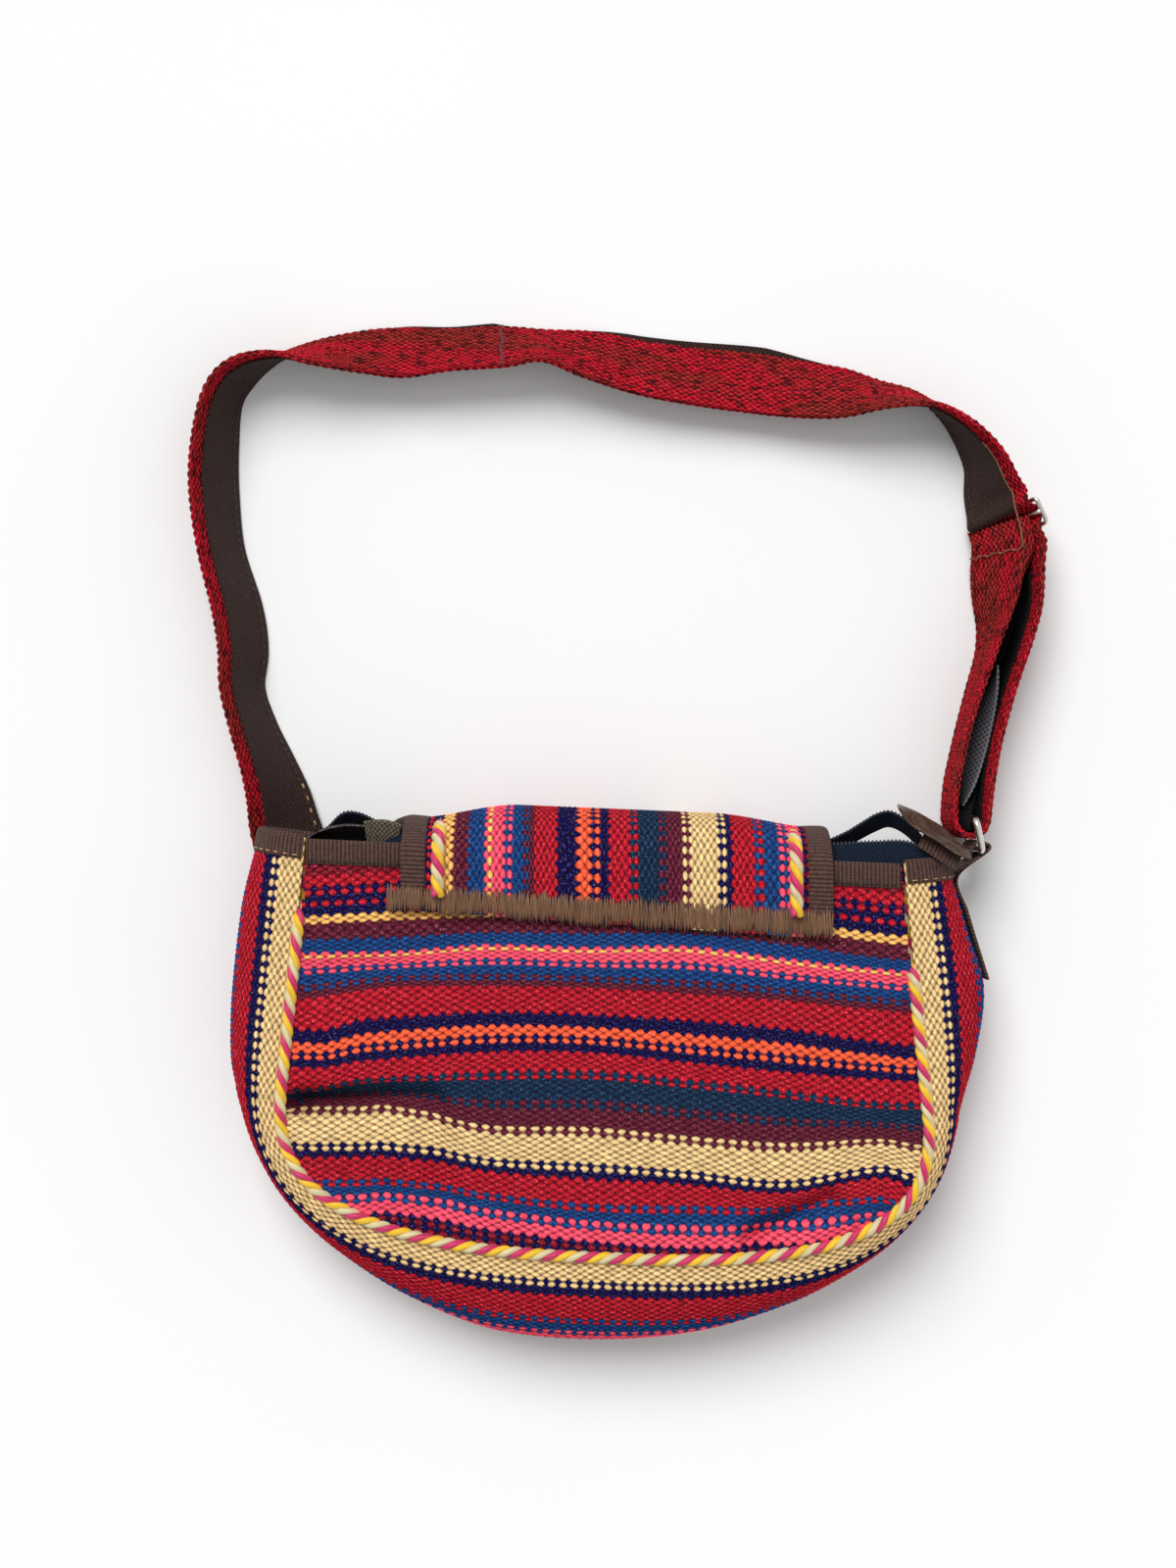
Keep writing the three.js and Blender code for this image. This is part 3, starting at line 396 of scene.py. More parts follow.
# %% Sheets and tubes from grids
def grid_mesh(name, points, uv=None, colours=None):
    """A grid with points of shape (columns, rows, 3) in mm; uv has shape (columns, rows, 2)."""
    columns, rows = points.shape[0] - 1, points.shape[1] - 1
    bm = bmesh.new()
    bmesh.ops.create_grid(bm, x_segments=columns, y_segments=rows, size=1.0)
    mesh = bpy.data.meshes.new(name)
    bm.to_mesh(mesh)
    bm.free()
    flat = np.empty(len(mesh.vertices) * 3)
    mesh.vertices.foreach_get("co", flat)
    start = flat.reshape(-1, 3)
    i = np.rint((start[:, 0] + 1) / 2 * columns).astype(int)
    j = np.rint((start[:, 1] + 1) / 2 * rows).astype(int)
    mesh.vertices.foreach_set("co", (points[i, j] * MM).ravel())
    corner = np.empty(len(mesh.loops), int)
    mesh.loops.foreach_get("vertex_index", corner)
    if uv is not None:
        layer = mesh.uv_layers.new(name="weave")
        layer.data.foreach_set("uv", uv[i[corner], j[corner]].ravel())
    if colours is not None:
        row_of_face = j[corner].reshape(-1, 4).min(axis=1)
        for label, table in colours.items():
            attribute = mesh.color_attributes.new(label, "FLOAT_COLOR", "CORNER")
            attribute.data.foreach_set("color", np.repeat(table[row_of_face], 4, axis=0).ravel())
    mesh.update()
    return mesh


def close_shell(mesh):
    """Merges the rolled grid's last row with its first and fills both ends."""
    bm = bmesh.new()
    bm.from_mesh(mesh)
    bmesh.ops.remove_doubles(bm, verts=bm.verts, dist=1e-7)
    bmesh.ops.holes_fill(bm, edges=[e for e in bm.edges if e.is_boundary], sides=0)
    bmesh.ops.recalc_face_normals(bm, faces=bm.faces)
    bm.to_mesh(mesh)
    bm.free()
    return mesh


def unit(vectors):
    """The same directions with length one."""
    return vectors / np.maximum(np.linalg.norm(vectors, axis=-1, keepdims=True), 1e-9)


def grid_normals(points):
    """Unit directions across a grid of points."""
    return unit(np.cross(np.gradient(points, axis=0), np.gradient(points, axis=1)))


def tube_points(line, radius, sides, side_hint, closed=False):
    """Rings of points round a line; side_hint is a direction that never runs along the line."""
    if closed:
        ahead = np.roll(line, -1, axis=0) - np.roll(line, 1, axis=0)
    else:
        ahead = np.gradient(line, axis=0)
    ahead = unit(ahead)
    first = unit(np.cross(ahead, side_hint))
    second = np.cross(ahead, first)
    angle = np.linspace(0, 2 * math.pi, sides + 1)
    width = np.broadcast_to(np.asarray(radius, float), len(line))[:, None, None]
    ring = first[:, None] * np.cos(angle)[None, :, None] + second[:, None] * np.sin(angle)[None, :, None]
    points = line[:, None] + ring * width
    return np.concatenate([points, points[:1]]) if closed else points


def join_meshes(name, meshes):
    """Several closed shells as one mesh."""
    bm = bmesh.new()
    for mesh in meshes:
        bm.from_mesh(mesh)
        bpy.data.meshes.remove(mesh)
    joined = bpy.data.meshes.new(name)
    bm.to_mesh(joined)
    bm.free()
    return joined


TAPERED = 0.4  # a tapered bar's ends are this share of its thickness


def tubes(name, lines, radius, sides, side_hint, taper=False):
    """Closed round bars along several lines, as one mesh."""
    meshes = []
    for line in lines:
        line = np.asarray(line, float)
        width = np.full(len(line), radius)
        if taper:
            width[[0, -1]] *= TAPERED
        along, around = np.linspace(0, 1, len(line)), np.linspace(0, 1, sides + 1)
        uv = np.stack(np.meshgrid(along, around, indexing="ij"), axis=-1)
        meshes.append(close_shell(grid_mesh(name, tube_points(line, width, sides, side_hint), uv)))
    return join_meshes(name, meshes)


# %% [markdown]
# ## The weave
#
# In this cloth the coloured yarns lie so close that they hide the threads across them. Each yarn shows as
# a row of short raised floats, and the next row is shifted by half a float, like bricks. The grid has four
# points to a float and two to a yarn, so the floats are real relief. The material then draws the edge of
# each float finer than the grid can: it reads the UV map, where one unit is one float or one yarn, and
# takes whichever of the two nearest yarns lies on top.

# %% Yarn colours in the order they were warped
FLOAT_LENGTH = 5.05  # from one float to the next in the same yarn
YARN_PITCH = 1.31
REACH = (0.27, 0.76)  # how far a float spreads against its neighbours, in floats along and yarns across
CROWN = (0.36, 0.62)  # half length and half width of its raised part, in the same units
YARNS = {
    "red": "#B4182A", "darkred": "#7E1526", "navy": "#0E0C46", "cream": "#E9C489", "gold": "#F8B866",
    "maroon": "#611D31", "blue": "#13407C", "pink": "#FF526C", "orange": "#FB5E3B", "teal": "#112E4C",
}
CHART = [  # colour, and how many yarns of it follow each other
    ("red", 3), ("navy", 1), ("red", 1), ("navy", 2), ("red", 1), ("navy", 3), ("gold", 3), ("maroon", 4),
    ("blue", 5), ("pink", 1), ("gold", 1), ("pink", 4), ("blue", 1), ("pink", 1), ("blue", 4),
    ("maroon", 1), ("blue", 1), ("maroon", 3), ("red", 8), ("navy", 4), ("orange", 3), ("navy", 1),
    ("orange", 1), ("navy", 3), ("red", 6), ("teal", 1), ("red", 1), ("teal", 7), ("maroon", 1),
    ("teal", 1), ("maroon", 6), ("cream", 1), ("maroon", 1), ("cream", 9), ("navy", 1), ("cream", 1),
    ("navy", 2), ("red", 7), ("blue", 1), ("red", 1), ("blue", 4), ("pink", 1), ("blue", 1), ("pink", 4),
    ("navy", 1), ("darkred", 1), ("navy", 1), ("darkred", 3),
]
WARP = [name for name, count in CHART for _ in range(count)]


def yarn_colour(index):
    """Linear colour of each yarn; the order starts again after the last."""
    table = np.array([colour(YARNS[name]) for name in WARP])
    return table[np.asarray(index) % len(WARP)]


def nearest_yarns(rows):
    """The nearest even and odd yarn for each half-yarn row of a grid."""
    middle = (np.arange(rows) + 0.5) / 2
    even = (2 * np.rint(middle / 2)).astype(int)
    odd = (2 * np.rint((middle - 1) / 2) + 1).astype(int)
    return even, odd


def yarn_tables(even, odd):
    """Colour attributes of a grid from the chart's yarn for each of its rows."""
    return {"colour_even": yarn_colour(even), "colour_odd": yarn_colour(odd)}


def weave_uv(columns, rows, per_float=4):
    """UV of a grid in floats along the yarn and yarns across it."""
    u, v = np.meshgrid(np.arange(columns) / per_float, np.arange(rows) / 2, indexing="ij")
    return np.stack([u, v], axis=-1)


def float_height(uv):
    """Height of the upper float at each point of the cloth: 1 on its crown, below 0 between floats."""
    u, v = uv[..., 0], uv[..., 1]
    a = np.abs(u - np.rint(u))
    b = np.abs(v - 2 * np.rint(v / 2))
    even = 1 - (a / CROWN[0]) ** 2 - (b / CROWN[1]) ** 2
    odd = 1 - ((0.5 - a) / CROWN[0]) ** 2 - ((1 - b) / CROWN[1]) ** 2
    return np.clip(np.maximum(even, odd), -0.3, 1.0)


print("yarns in the chart:", len(WARP))


# %% Woven wool
# Spun wool is matt and hairy: no clear gloss, fine streaks along each yarn. Its brightest fibres get a
# painted highlight, and its floats get painted light and shade.
WOBBLE = (0.4, 0.4, 0.0)  # how far the floats wander, in floats along and yarns across


def weave_sockets(tree):
    """The float pattern: whether the even yarn is on top, distance from its crown, and the UV."""
    uv = add_node(tree, "UVMap", uv_map="weave").outputs[0]
    noise = add_node(tree, "TexNoise", {"Vector": uv, "Scale": 0.6, "Detail": 1.0}).outputs[1]
    centred = add_node(tree, "VectorMath", {0: noise, 1: (0.5, 0.5, 0.5)}, operation="SUBTRACT")
    wobble = add_node(tree, "VectorMath", {0: centred.outputs[0], 1: WOBBLE}, operation="MULTIPLY")
    bent = add_node(tree, "VectorMath", {0: uv, 1: wobble.outputs[0]}, operation="ADD").outputs[0]
    split = add_node(tree, "SeparateXYZ", {0: bent})
    from_float = add_node(tree, "Math", {0: split.outputs[0], 1: 0.5}, operation="PINGPONG")
    from_yarn = add_node(tree, "Math", {0: split.outputs[1], 1: 1.0}, operation="PINGPONG")
    even = add_node(tree, "CombineXYZ", {0: from_float.outputs[0], 1: from_yarn.outputs[0]}).outputs[0]
    odd = add_node(tree, "VectorMath", {0: (0.5, 1.0, 0.0), 1: even}, operation="SUBTRACT").outputs[0]
    away = []
    for place in (even, odd):
        scaled = add_node(tree, "VectorMath", {0: place, 1: (*REACH, 1.0)}, operation="DIVIDE").outputs[0]
        dot = add_node(tree, "VectorMath", {0: scaled, 1: scaled}, operation="DOT_PRODUCT")
        away.append(dot.outputs["Value"])
    even_on_top = add_node(tree, "Math", {0: away[0], 1: away[1]}, operation="LESS_THAN").outputs[0]
    upper = add_node(tree, "Mix", {0: even_on_top, 4: odd, 5: even}, data_type="VECTOR").outputs[1]
    scaled = add_node(tree, "VectorMath", {0: upper, 1: (*CROWN, 1.0)}, operation="DIVIDE").outputs[0]
    dot = add_node(tree, "VectorMath", {0: scaled, 1: scaled}, operation="DOT_PRODUCT")
    return even_on_top, dot.outputs["Value"], uv


FIBRE_TWIST = 0.5  # slant of the spun fibres, in radians
FIBRES_PER_MM = (0.9, 3.2, 1.0)  # fibres show about 1 mm long and 0.3 mm wide, coarser than real ones
DYE_PATCH = (0.9, 0.7, 1.0)  # the dye changes about once in a float and in a yarn


def spun_yarn(tree, yarn, nearest, uv, between, glint):
    """Colours a yarn: uneven dye and fibre streaks, painted light on each float's crown and painted shade
    at its edge, painted glints on its brightest fibres, and the weft between floats, darkened as painted
    shade.
    """
    patch = add_node(tree, "Mapping", {0: uv, 3: DYE_PATCH}).outputs[0]
    dye = add_node(tree, "TexNoise", {"Vector": patch, "Scale": 1.0, "Detail": 2.0}).outputs[0]
    dye = add_node(tree, "MapRange", {0: dye, 1: 0.25, 2: 0.75, 3: 0.7, 4: 1.25}).outputs[0]
    in_mm = {0: uv, 2: (0, 0, FIBRE_TWIST), 3: (FLOAT_LENGTH, YARN_PITCH, 1)}
    twist = add_node(tree, "Mapping", in_mm).outputs[0]
    streak = add_node(tree, "Mapping", {0: twist, 3: FIBRES_PER_MM}).outputs[0]
    fibre = add_node(tree, "TexNoise", {"Vector": streak, "Scale": 1.0, "Detail": 3.0}).outputs[0]
    fibres = add_node(tree, "MapRange", {0: fibre, 1: 0.3, 2: 0.7, 3: 0.62, 4: 1.38}).outputs[0]
    shade = add_node(tree, "Math", {0: dye, 1: fibres}, operation="MULTIPLY").outputs[0]
    # Painted light and shade: the colour is lighter on a float's crown and darker towards its edge.
    crown = add_node(tree, "MapRange", {0: nearest, 1: 0.0, 2: 1.05, 3: 1.28, 4: 0.66}).outputs[0]
    shade = add_node(tree, "Math", {0: shade, 1: crown}, operation="MULTIPLY").outputs[0]
    lit = add_node(tree, "VectorMath", {0: yarn, "Scale": shade}, operation="SCALE").outputs[0]
    # Painted highlight: light is added to the colour of the brightest fibres on the upper part of a float.
    painted_glint = add_node(tree, "MapRange", {0: fibre, 1: 0.57, 2: 0.7, 3: 0.0, 4: glint}).outputs[0]
    top = add_node(tree, "MapRange", {0: nearest, 1: 0.2, 2: 1.2, 3: 1.0, 4: 0.2}).outputs[0]
    painted_glint = add_node(tree, "Math", {0: painted_glint, 1: top}, operation="MULTIPLY").outputs[0]
    lit = add_node(tree, "VectorMath", {0: lit, 1: painted_glint}, operation="ADD").outputs[0]
    # Painted shade: towards the gaps between floats the colour goes over to the dark colour between them.
    gap = add_node(tree, "MapRange", {0: nearest, 1: 0.95, 2: 2.0, 3: 0.0, 4: 0.6}).outputs[0]
    tone = add_node(tree, "Mix", {0: gap, 6: lit, 7: between}, data_type="RGBA").outputs[2]
    dome = add_node(tree, "Math", {0: 1.0, 1: nearest}, operation="SUBTRACT").outputs[0]
    height = add_node(tree, "Math", {0: fibre, 1: 0.55, 2: dome}, operation="MULTIPLY_ADD").outputs[0]
    bump = add_node(tree, "Bump", {"Strength": 0.6, "Distance": 0.00025, "Height": height}).outputs[0]
    return tone, bump


WEFT_IN_SHADE = colour("#2A0F18")  # thread across the yarns, seen only between floats, darkened as painted shade of those hollows
WOOL_GLINT = 0.2  # painted highlight: how much light is added to the colour of its brightest fibres
striped_wool, tree = new_material("warp-striped wool")
even_on_top, nearest, uv = weave_sockets(tree)
even_yarn = add_node(tree, "Attribute", attribute_name="colour_even").outputs[0]
odd_yarn = add_node(tree, "Attribute", attribute_name="colour_odd").outputs[0]
yarn = add_node(tree, "Mix", {0: even_on_top, 6: odd_yarn, 7: even_yarn}, data_type="RGBA").outputs[2]
tone, bump = spun_yarn(tree, yarn, nearest, uv, WEFT_IN_SHADE, WOOL_GLINT)
WOOL_SURFACE = {"Roughness": 0.9, "IOR": 1.45, "Specular IOR Level": 0.04}
finish_material(tree, {"Base Color": tone, "Normal": bump, **WOOL_SURFACE})
print("material:", striped_wool.name)

# %% [markdown]
# ## Back panel
#
# The half-moon that the photo shows. It is slack, so its stripes wander: the table holds where ten borders
# between stripes, and a line beyond each edge, lie at one place and how far they drift at other places.
# A rectangle of cloth is bent to those lines, raised onto the panel's height and cut to the half-moon.
# Cutting is honest here, because that is how the maker got the shape, and the rope hides the cut.

# %% Back panel cloth
DRIFT_AT = [-123.1, -114.5, -101.3, -87.0, -46.9, -6.8, 33.2, 73.3, 113.4, 129.4]  # x where drift is given
STRIPES = [
    {"yarn": -12, "y": 6.4, "drift": [-3, -2.4, -1.8, -1, 0, 0, 0, -4, -8, -9]},
    {"yarn": 14, "y": -28.0, "drift": [-2.8, -2.2, -1.6, -0.8, 0.4, 0.4, 0, -4.0, -10.0, -11.0]},
    {"yarn": 23, "y": -40.0, "drift": [-2.8, -2.6, -2.3, -2.0, 0.8, -0.4, 0, -4.8, -9.2, -10.5]},
    {"yarn": 40, "y": -58.9, "drift": [-2.4, -1.4, 0.9, 2.8, 3.2, 2.4, 0, -2.8, -6.8, -8.4]},
    {"yarn": 48, "y": -70.3, "drift": [-4.1, -4.2, -0.4, 1.2, 3.4, 2.4, 0, -3.6, -9.2, -10.8]},
    {"yarn": 60, "y": -86.9, "drift": [-2.5, -2.3, 0.2, 1.6, 4.2, 4.0, 0, -4.0, -7.2, -8.4]},
    {"yarn": 66, "y": -95.2, "drift": [-3.6, -2.2, 0.6, 1.8, 3.2, 3.6, 0, -4.4, -9.2, -9.6]},
    {"yarn": 83, "y": -117.4, "drift": [10.4, 10.8, 11.1, 11.6, 4.4, 3.6, 0, -2.8, -1.2, -4.0]},
    {"yarn": 95, "y": -132.9, "drift": [11.2, 11.3, 11.5, 11.6, 5.2, 2.8, 0, -4.0, 2.0, -2.8]},
    {"yarn": 105, "y": -146.3, "drift": [10.4, 10.6, 10.9, 11.2, 5.2, 0.8, 0, -0.4, 4.0, -3.6]},
    {"yarn": 112, "y": -157.1, "drift": [12.0, 12.6, 13.2, 14.0, 7.2, 2.4, 0, 0.8, 6.0, 2.0]},
    {"yarn": 130, "y": -182.0, "drift": [12.0, 12.6, 13.2, 14.0, 7.2, 2.4, 0, 0.8, 6.0, 2.0]},
]
PANEL_LEFT, PANEL_RIGHT = -137.0, 137.0
MOUTH_CUT = -2.0  # the cloth ends here, under the mouth's tape
FIRST_YARN, LAST_YARN = -10, 128
RELIEF = 0.55  # how far a float stands above the hollows between floats


def panel_lines(x, yarns):
    """y of each yarn at each x, in the laid frame, from the stripe table."""
    place_x = np.interp(x, DRIFT_AT, np.arange(len(DRIFT_AT)))
    lines = np.stack([row["y"] + spline(row["drift"], place_x) for row in STRIPES], axis=0)
    place = np.interp(yarns, [row["yarn"] for row in STRIPES], np.arange(len(STRIPES)))
    return spline(lines, place).T


def panel_sheet(name, height, x, y_laid, uv, colours, relief, side):
    """A sheet at these places of a panel, raised to its height and cut to the half-moon."""
    y = y_laid + SKEW * x
    points = lay(x, y, height(x, y))
    points += grid_normals(points) * side * relief * (float_height(uv)[..., None] - 0.5)
    mesh = grid_mesh(name, points, uv, colours)
    bm = bmesh.new()
    bm.from_mesh(mesh)
    outside = []
    for face in bm.faces:
        centre = np.array(face.calc_center_median()) / MM - PLACE
        face_y = centre[1] + SKEW * centre[0]
        in_half = abs(centre[0]) < half_width(np.array(face_y)) - EDGE_IN
        if not (in_half and -PANEL_DROP + EDGE_IN < face_y < MOUTH_CUT):
            outside.append(face)
    bmesh.ops.delete(bm, geom=outside, context="FACES")
    if (bm.faces[:][0].normal.z > 0) != (side > 0):
        bmesh.ops.reverse_faces(bm, faces=bm.faces)
    bm.to_mesh(mesh)
    bm.free()
    return mesh


def back_panel():
    """The back panel's cloth, woven finely."""
    columns = int((PANEL_RIGHT - PANEL_LEFT) / FLOAT_LENGTH * 4) + 1
    rows = 2 * (LAST_YARN - FIRST_YARN) + 1
    x_line = PANEL_LEFT + np.arange(columns) * FLOAT_LENGTH / 4
    y_laid = panel_lines(x_line, FIRST_YARN + np.arange(rows) / 2)
    x = np.broadcast_to(x_line[:, None], y_laid.shape)
    uv = weave_uv(columns, rows)
    even, odd = nearest_yarns(rows - 1)
    colours = yarn_tables(FIRST_YARN + even, FIRST_YARN + odd)
    mesh = panel_sheet("back_panel_cloth", back_height, x, y_laid, uv, colours, RELIEF, 1)
    return add_object("back_panel_cloth", mesh, [striped_wool])


back_cloth = back_panel()
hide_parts("back_panel")
print("back panel:", len(back_cloth.data.polygons), "faces")


# %% [markdown]
# ## Front panel
#
# The same half-moon on the underside, hidden by the flap and the table. It needs the stripes and the woven
# material but no modelled floats, so its grid is coarse and lies straight.

# %% Front panel cloth
FRONT_COLUMNS = 81
PANEL_TOP, PANEL_END = 8.0, -182.0  # first and last y of the cloth before it is cut


def front_panel():
    """The front panel's cloth, with straight stripes."""
    columns, rows = FRONT_COLUMNS, 2 * (LAST_YARN - FIRST_YARN) + 1
    x_line = np.linspace(PANEL_LEFT, PANEL_RIGHT, columns)
    y_line = PANEL_TOP - np.arange(rows) / 2 * YARN_PITCH
    x, y_laid = np.meshgrid(x_line, y_line, indexing="ij")
    uv = weave_uv(columns, rows, FLOAT_LENGTH * (columns - 1) / (PANEL_RIGHT - PANEL_LEFT))
    even, odd = nearest_yarns(rows - 1)
    colours = yarn_tables(FIRST_YARN + even, FIRST_YARN + odd)
    mesh = panel_sheet("front_panel_cloth", front_height, x, y_laid, uv, colours, 0.0, -1)
    return add_object("front_panel_cloth", mesh, [striped_wool])


front_cloth = front_panel()
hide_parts("front_panel")
print("front panel:", len(front_cloth.data.polygons), "faces")


# %% Insides of the panels
# The wrong side of the cloth is only a dim surface inside the open mouth, one cloth thickness away.
INSIDE_STEPS = 61


def panel_inside(name, height, side):
    """The inner face of a panel; side is 1 where it looks up."""
    def inner_height(px, py):
        return height(px, py) + side * CLOTH

    x_line = np.linspace(PANEL_LEFT, PANEL_RIGHT, INSIDE_STEPS)
    y_line = np.linspace(PANEL_TOP, PANEL_END, INSIDE_STEPS)
    x, y_laid = np.meshgrid(x_line, y_line, indexing="ij")
    uv = np.stack([x / FLOAT_LENGTH, -y_laid / YARN_PITCH], axis=-1)
    yarns = FIRST_YARN + ((PANEL_TOP - y_line[:-1]) / YARN_PITCH).astype(int)
    colours = yarn_tables(yarns, yarns + 1)
    mesh = panel_sheet(name, inner_height, x, y_laid, uv, colours, 0.0, side)
    return add_object(name, mesh, [striped_wool])


INSIDES = [("back_panel_inside", back_height, -1), ("front_panel_inside", front_height, 1)]
for name, height, side in INSIDES:
    inside = panel_inside(name, height, side)
    print(name, len(inside.data.polygons), "faces")

# %% [markdown]
# ## Gusset
#
# One long strip, folded round the sides and the bottom. Its yarns run along the strip, so its stripes
# follow the seam. The strip keeps its width while it bulges more or less, so yarns are spaced by length
# measured over the curve, starting at the seam that the photo shows. The grid is rolled once: the outside
# is woven finely, the inside has only a few rows.

# %% Gusset cloth
GUSSET_YARN = 86  # yarn of the chart that lies at the back seam: cream
GUSSET_YARNS = 66
INNER_ROWS = 10
EVEN_TO = 0.35  # up to this part of the width the yarns keep their exact pitch
SIDE_SPREAD = 0.1  # the yarns lie this much further apart at the bag's sides than along its bottom
SIDE_FROM, SIDE_OVER = 0.25, 0.1  # where a side begins, as a share of the seam from its middle
GUSSET_STRETCH = 1.12  # the bulging strip is this much longer than the seam
BROADER = [(11, 1), (17, 2)]  # after this yarn, this many more than in the panel: navy, then red


def gusset_yarn(index):
    """Yarn of the chart for a yarn of the strip, counted from the seam."""
    index = np.asarray(index)
    skipped = np.zeros(index.shape, int)
    for after, more in BROADER:
        skipped += np.clip(index - skipped - after, 0, more)
    return GUSSET_YARN + index - skipped


def gusset_across(along):
    """Position across the section of every half yarn, for each place along the seam."""
    fine = np.linspace(0, 1, 121)
    section = gusset_point(along[:, None], fine[None, :])
    steps = np.linalg.norm(np.diff(section, axis=1), axis=2)
    length = np.concatenate([np.zeros((len(along), 1)), np.cumsum(steps, axis=1)], axis=1)
    part = np.linspace(0, 1, 2 * GUSSET_YARNS + 1)
    at_side = smooth((np.abs(along - 0.5) - SIDE_FROM) / SIDE_OVER)[:, None]
    full = GUSSET_YARNS * YARN_PITCH * (1 + SIDE_SPREAD * at_side)
    spare = length[:, -1:] - full
    wanted = part * full + spare * smooth((part - EVEN_TO) / (1 - EVEN_TO))
    return np.stack([np.interp(w, l, fine) for w, l in zip(wanted, length)])


def gusset():
    """The strip's cloth: fine outside, coarse inside."""
    columns = int(SEAM_LENGTH * GUSSET_STRETCH / FLOAT_LENGTH * 4) + 1
    along = np.linspace(0, 1, columns)
    outer = gusset_point(along[:, None], gusset_across(along))
    uv = weave_uv(columns, outer.shape[1])
    outer += grid_normals(outer) * -RELIEF * (float_height(uv)[..., None] - 0.5)
    back = np.linspace(1, 0, INNER_ROWS + 1)
    inner = gusset_point(along[:, None], back[None, :], -CLOTH)
    points = np.concatenate([outer, inner, outer[:, :1]], axis=1)
    inner_v = np.linspace(GUSSET_YARNS, 0, INNER_ROWS + 1)
    inner_uv = np.stack(np.broadcast_arrays(uv[:, :1, 0], inner_v[None, :]), axis=-1)
    uv = np.concatenate([uv, inner_uv, uv[:, :1]], axis=1)
    inner_yarns = np.concatenate([[GUSSET_YARNS], inner_v[:-1], [0]]).astype(int)
    outer_yarns = nearest_yarns(2 * GUSSET_YARNS)
    even, odd = (gusset_yarn(np.concatenate([yarns, inner_yarns])) for yarns in outer_yarns)
    colours = yarn_tables(even, odd)
    mesh = close_shell(grid_mesh("gusset_cloth", points, uv, colours))
    return add_object("gusset_cloth", mesh, [striped_wool])


gusset_cloth = gusset()
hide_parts("gusset")
print("gusset:", len(gusset_cloth.data.polygons), "faces")

# %% [markdown]
# ## Flap
#
# A rectangle of the same cloth with its yarns along its length, sewn to the back panel and folded over the
# mouth onto the front. Its floats are a little larger than the panel's, because this cloth was beaten
# less. The stripes' places across it come from the part that the photo shows.

# %% Flap cloth
FLAP_FLOAT = 5.2
FLAP_STRIPES = [  # yarn of the chart, and its place across the flap
    {"yarn": 0, "x": -87}, {"yarn": 14, "x": -66.4}, {"yarn": 18, "x": -60}, {"yarn": 23, "x": -53.3},
    {"yarn": 30, "x": -43.7}, {"yarn": 35, "x": -37.4}, {"yarn": 40, "x": -33.4}, {"yarn": 48, "x": -23.8},
    {"yarn": 52, "x": -15}, {"yarn": 56, "x": -7.8}, {"yarn": 60, "x": -2.6}, {"yarn": 66, "x": 6.5},
    {"yarn": 75, "x": 18.1}, {"yarn": 83, "x": 27.7}, {"yarn": 94, "x": 42.6}, {"yarn": 98, "x": 47.6},
    {"yarn": 105, "x": 57.2}, {"yarn": 111, "x": 67.6}, {"yarn": 124, "x": 87},
]
FLAP_YARNS = 124


def flap_cloth():
    """The flap's cloth: fine outside, coarse inside."""
    columns = int(FLAP_LENGTH / FLAP_FLOAT * 4) + 1
    along = np.linspace(0, 1, columns)
    yarns = np.arange(2 * FLAP_YARNS + 1) / 2
    x = np.interp(yarns, [row["yarn"] for row in FLAP_STRIPES], [row["x"] for row in FLAP_STRIPES])
    outer = flap_point(along[:, None], x[None, :])
    uv = weave_uv(columns, len(yarns))
    inner_x = np.linspace(FLAP_HALF, -FLAP_HALF, INNER_ROWS * 2 + 1)
    inner = flap_point(along[:, None], inner_x[None, :])
    inner += CLOTH * unit(np.cross(np.gradient(inner, axis=1), np.gradient(inner, axis=0)))
    outer -= grid_normals(outer) * RELIEF * (float_height(uv)[..., None] - 0.5)
    points = np.concatenate([outer, inner, outer[:, :1]], axis=1)
    inner_v = np.linspace(FLAP_YARNS, 0, len(inner_x))
    inner_uv = np.stack(np.broadcast_arrays(uv[:, :1, 0], inner_v[None, :]), axis=-1)
    uv = np.concatenate([uv, inner_uv, uv[:, :1]], axis=1)
    inner_yarns = np.concatenate([[FLAP_YARNS], inner_v[:-1], [0]]).astype(int)
    even, odd = (np.concatenate([yarns, inner_yarns]) for yarns in nearest_yarns(2 * FLAP_YARNS))
    colours = yarn_tables(even, odd)
    mesh = close_shell(grid_mesh("flap_cloth", points, uv, colours))
    return add_object("flap_cloth", mesh, [striped_wool])


flap_piece = flap_cloth()
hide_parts("flap")
print("flap:", len(flap_piece.data.polygons), "faces")

# %% [markdown]
# ## Twisted cords
#
# The piping and the flap's cords are three-strand rope: yellow, magenta and cream, each a bundle of shiny
# yarn. A strand is a round bar that winds round the cord's middle line, so three bars a third of a turn
# apart make the rope. A material could only paint such stripes; bars also give the grooves and the bumpy
# edge that the photo shows.

# %% Rope strands
ROPE_TURN = 13.8  # length of one full turn of a strand
STRAND_WINDS, STRAND_RADIUS = 0.5, 0.56  # radius of a strand's path and of a strand, by the rope's radius
STRAND_SIDES = 9
STREAKS = (60.0, 7.0, 1.0)  # streaks along and round a strand, drawn coarser than real fibres
STREAK_SLANT = 0.02
STRAND_COLOURS = {"yellow": "#F7C41C", "magenta": "#CE2260", "cream": "#DCCD9C"}


